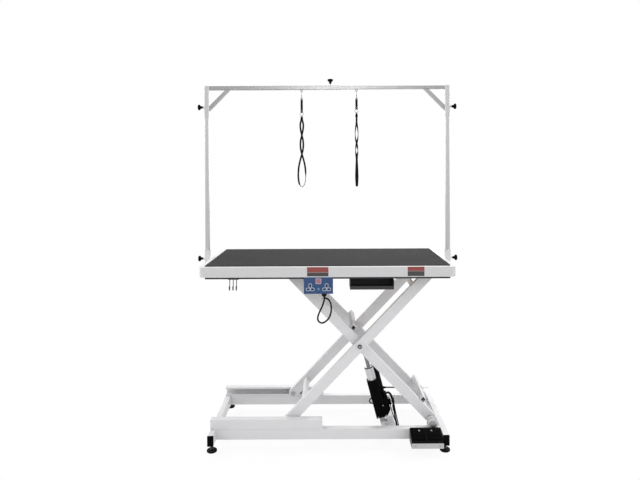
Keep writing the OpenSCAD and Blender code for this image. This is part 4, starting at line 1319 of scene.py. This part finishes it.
ACTUATOR_PIN = mm(289, -80, 60)
ACTUATOR_LEAN = math.radians(104.763)
ACTUATOR_AXIS = Vector((math.cos(ACTUATOR_LEAN), 0, math.sin(ACTUATOR_LEAN)))
ACTUATOR_RIGHT = Vector((ACTUATOR_AXIS.z, 0, -ACTUATOR_AXIS.x))
FITTING_ENDS = mm(35.5)
# Places along the axis and to its right
GEARBOX_SCREWS = ((95.6, 21), (41.5, 23.8), (41.5, -18))
LEAD_START = (155.9, 48, 51.7)


def on_actuator(along, across, right):
    """A place on the actuator in millimetres: along its axis, to the rear, and to its right."""
    return ACTUATOR_PIN + mm(0, across, 0) + ACTUATOR_AXIS * mm(along) + ACTUATOR_RIGHT * mm(right)


class GROOMING_OT_actuator(bpy.types.Operator):
    """Dresses the linear actuator: gearbox, motor, ribbed tube, rod, screws and short leads"""

    bl_idname = "grooming.actuator"
    bl_label = "Actuator"

    def execute(self, context):
        fitting = lambda p: (p - ACTUATOR_PIN).dot(ACTUATOR_AXIS) < FITTING_ENDS
        gearbox = ("black_plastic", "zinc")
        dress("actuator_gearbox", mm(1.6), *gearbox, where=(fitting,), segments=3)
        dress("actuator_motor", mm(1.4), "gloss_black", segments=3)
        dress("actuator_tube", mm(0.5), "ribbed_tube")
        dress("actuator_rod", mm(0.8), "chrome")
        places = [on_actuator(along, -26, right) for along, right in GEARBOX_SCREWS]
        screws_add("gearbox_screw", places, 3.6, "actuator", "zinc", "pin_steel")
        collar = turned(
            "gearbox_collar", [(26.5, 0), (27.6, 0.6), (27.6, 5), (26.5, 5.6)],
            on_actuator(228, 0, 0), ACTUATOR_AXIS, 48, open_ends=True,
        )
        seam = turned(
            "motor_seam", [(20.3, 0), (20.9, 0.5), (20.9, 3.5), (20.3, 4)],
            on_actuator(272, 48, 27), ACTUATOR_AXIS, 40,
        )
        ring = turned(
            "tube_end_ring", [(23.1, 0), (23.8, 0.4), (23.8, 4.4), (23.1, 4.8)],
            on_actuator(297.6, 0, 0), ACTUATOR_AXIS, 48, open_ends=True,
        )
        collar.join(seam, ring).paint("black_plastic").done("actuator", "black_plastic")
        leads_make()
        return {"FINISHED"}


def leads_make():
    """The loop of wire on the gearbox's left, and the short lead with its in-line connector."""
    bow = arc(on_actuator(123, 0, -29), mm(13), 180, 0, ACTUATOR_AXIS, -ACTUATOR_RIGHT, 11)
    route = [on_actuator(110, 0, -26)] + bow + [on_actuator(136, 0, -26)]
    loop = wire_piece("actuator_lead_loop", route, mm(3.2))
    start = on_actuator(*LEAD_START)
    route = [start + mm(run, 0, rise) for run, rise in ((0, 0), (22, 0.4), (52, -0.4))]
    lead = wire_piece("actuator_lead", route, mm(3.4))
    plug = turned(
        "actuator_lead_plug",
        [(2.6, 0), (3.6, 1), (3.6, 3), (4, 4), (4, 10), (3.6, 10.6), (3.6, 12), (4, 12.6),
         (4, 19), (3, 20)],
        start + mm(50, 0, 0), ALONG, 24,
    )
    relief = turned(
        "actuator_lead_relief", [(6, 0), (6, 3), (5, 4), (5, 6.5), (3.6, 7.5), (3.2, 10)],
        start - mm(1, 0, 0), ALONG, 24,
    )
    loop.join(lead, plug, relief).paint("rubber")
    loop.done("actuator", "cable_rubber", "actuator_leads", smooth=45)


# Table top and what hangs under it

# The edge's two plates: left, right, bottom, top and the line between the colours
PLATES = (
    ("plate_1", -99, 4, 873, 918, 891.5),
    ("plate_2", 387, 467.8, 872.5, 918, 896.5),
)
PLATE_RED = (0.22, 0.033, 0.024, 1)
PLATE_BLACK = (0.026, 0.024, 0.027, 1)
PLATE_LINE = (0.28, 0.26, 0.26, 1)
PLATE_SCUFF = (0.4, 0.36, 0.34, 1)


class GROOMING_OT_table(bpy.types.Operator):
    """Dresses the table top, its hidden frame, tray, hooks and boxes"""

    bl_idname = "grooming.table"
    bl_label = "Table top"

    def execute(self, context):
        sizes = context.scene.grooming_sizes
        small = sizes.small_round
        # The edge wears the darker copy of the white coat, which is painted shade
        dress("table_edge", sizes.edge_round, "edge_paint", segments=4)
        dress("table_mat", mm(1.2), "mat_rubber", segments=3)
        dress_all("dark_paint", small, "table_pivot_brackets", "tool_tray", "table_rails")
        dress("control_box", mm(2), "black_plastic", segments=3)
        dress("hook_rack", None, "dark_paint")
        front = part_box("table_edge")[0].y
        for name, left, right, bottom, top, _ in PLATES:
            low, high = mm(left, 0, bottom), mm(right, 0, top)
            low.y, high.y = front - mm(0.6), front + mm(0.5)
            block(f"edge_{name}", low, high, mm(0.3), 1).paint(name).done("table", "red_plastic")
        return {"FINISHED"}


# Socket box

class GROOMING_OT_socket(bpy.types.Operator):
    """Makes the socket box's front: plate, outlet outlines, rocker, cap, screws and gland"""

    bl_idname = "grooming.socket"
    bl_label = "Socket box"

    def execute(self, context):
        dress("socket_box", mm(1.2), "black_plastic", segments=3)
        dress("socket_plate", mm(0.9), "blue_plastic", segments=3)
        dress("switch_rocker", mm(0.6), "red_plastic", segments=3)
        low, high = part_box("socket_plate")
        foot = Vector(((low.x + high.x) / 2, low.y, low.z))
        marks = [
            front_frame(f"outlet_mark_{side}_{i}", foot + mm(side * 39.5 + x, 0.2, 28 + z), *sizes)
            for side in (-1, 1) for i, (x, z, *sizes) in enumerate(OUTLET_MARKS)
        ]
        marks[0].join(*marks[1:]).rename("outlet_marks")
        marks[0].paint("print_white").done("table", "blue_plastic", smooth=40)
        rocker = middle("switch_rocker")
        rocker.y = low.y + mm(0.4)
        bezel = front_frame("rocker_bezel", rocker, 26.6, 26.6, 2.4, 2.6, 1.4)
        bezel.ease(mm(0.4)).paint("pale_bezel").done("table", "blue_plastic", smooth=40)
        cap = turned(
            "socket_cap",
            [(6.2, 0), (6.2, 1), (5.6, 1.5), (4.6, 1.5), (4.4, 1.1), (3.6, 1.3), (2, 1.5)],
            foot + mm(0, 0.3, 23.5), FRONT, 36,
        )
        cap.paint("pale_cap").done("table", "blue_plastic", smooth=30)
        inset = mm(5.5)
        places = [
            (x, low.y + mm(0.2), z)
            for x in (low.x + inset, high.x - inset) for z in (low.z + inset, high.z - inset)
        ]
        screws_add("plate_screw", places, 2.4, "table", "blue_plastic", "blue_plastic")
        gland = turned(
            "cord_gland",
            [(13.1, 1), (13.2, -3), (12.9, -8), (11.8, -12), (9.6, -15.4), (7, -17.6),
             (5.6, -18.6), (4.2, -19)],
            (*mm(*CORD_ROUTE[0]).xy, low.z), UP, 32,
        )
        gland.paint("rubber").done("table", "cable_rubber")
        return {"FINISHED"}


# Each outline of an outlet: its place aside and up, then its sizes
OUTLET_MARKS = (
    (0, 11, 17, 22, 2.6, 5.5, 0.6),
    (-10.4, -6.2, 20.8, 16, 2.6, 5.5, 0.6),
    (10.4, -6.2, 20.8, 16, 2.6, 5.5, 0.6),
)


# Grooming arm

class GROOMING_OT_arm(bpy.types.Operator):
    """Dresses the posts, their sockets, the overhead bar and the clamp knobs"""

    bl_idname = "grooming.arm"
    bl_label = "Grooming arm"

    def execute(self, context):
        small = context.scene.grooming_sizes.small_round
        dress("post_sockets", small, "frame_paint")
        dress("posts", None, "steel_upright")
        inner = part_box("posts")[1].x - mm(24)
        bar_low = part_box("overhead_left")[1].z - mm(34)
        brace = lambda p: abs(p.x) < inner
        bar = lambda p: brace(p) and p.z > bar_low
        # The braces and the bar wear darker copies of the posts' steel, which is painted shade
        steels = ("steel_upright", "steel_brace", "steel_level")
        for side in SIDES:
            dress(f"overhead_{side}", small, *steels, where=(brace, bar))
        for node in (f"knob_{row}_{side}" for row in ("low", "high") for side in SIDES):
            knob_dress(node, 1 if middle(node).x > 0 else -1, "x", "yz")
        knob_dress("knob_bar", 1, "z", "xy")
        return {"FINISHED"}


KNOB_GRIP = mm(26)
KNOB_SCREW = mm(4.8)


def knob_dress(node, sign, axis, plane):
    """A clamp knob, its grip towards the sign of its axis: fluted black grip on a plated screw."""
    centre = getattr(middle(node), plane)
    inner = max(sign * getattr(corner, axis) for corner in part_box(node)) - KNOB_GRIP
    shaft = lambda p: (
        (getattr(p, plane) - centre).length < KNOB_SCREW and sign * getattr(p, axis) < inner
    )
    dress(node, mm(0.9), "black_plastic", "zinc", where=(shaft,), segments=3, smooth=40)


# The panel, and the run

GROUPS = (GroomingColours, GroomingSizes)
OPERATORS = (
    GROOMING_OT_finishes, GROOMING_OT_stage, GROOMING_OT_cords, GROOMING_OT_leashes,
    GROOMING_OT_snaps, GROOMING_OT_base, GROOMING_OT_pedal, GROOMING_OT_lift,
    GROOMING_OT_actuator, GROOMING_OT_table, GROOMING_OT_socket, GROOMING_OT_arm,
)


class GROOMING_PT_panel(bpy.types.Panel):
    """Lists the table's pieces, its colours and its sizes"""

    bl_idname = "GROOMING_PT_panel"
    bl_label = "Grooming table"
    bl_space_type = "VIEW_3D"
    bl_region_type = "UI"
    bl_category = "Grooming table"

    def draw(self, context):
        column = self.layout.column()
        for operator in OPERATORS:
            column.operator(operator.bl_idname)
        for group in (context.scene.grooming_colours, context.scene.grooming_sizes):
            for name in group.__annotations__:
                column.prop(group, name)


def register():
    """Registers the classes and hangs the values on the scene."""
    for cls in (*GROUPS, *OPERATORS, GROOMING_PT_panel):
        bpy.utils.register_class(cls)
    bpy.types.Scene.grooming_colours = bpy.props.PointerProperty(type=GroomingColours)
    bpy.types.Scene.grooming_sizes = bpy.props.PointerProperty(type=GroomingSizes)


def unregister():
    """Takes the values and the classes away again."""
    del bpy.types.Scene.grooming_sizes
    del bpy.types.Scene.grooming_colours
    for cls in reversed((*GROUPS, *OPERATORS, GROOMING_PT_panel)):
        bpy.utils.unregister_class(cls)


def main():
    """Runs the operators in order."""
    register()
    for operator in OPERATORS:
        group, name = operator.bl_idname.split(".")
        getattr(getattr(bpy.ops, group), name)()
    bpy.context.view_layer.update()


if __name__ == "__main__":
    main()
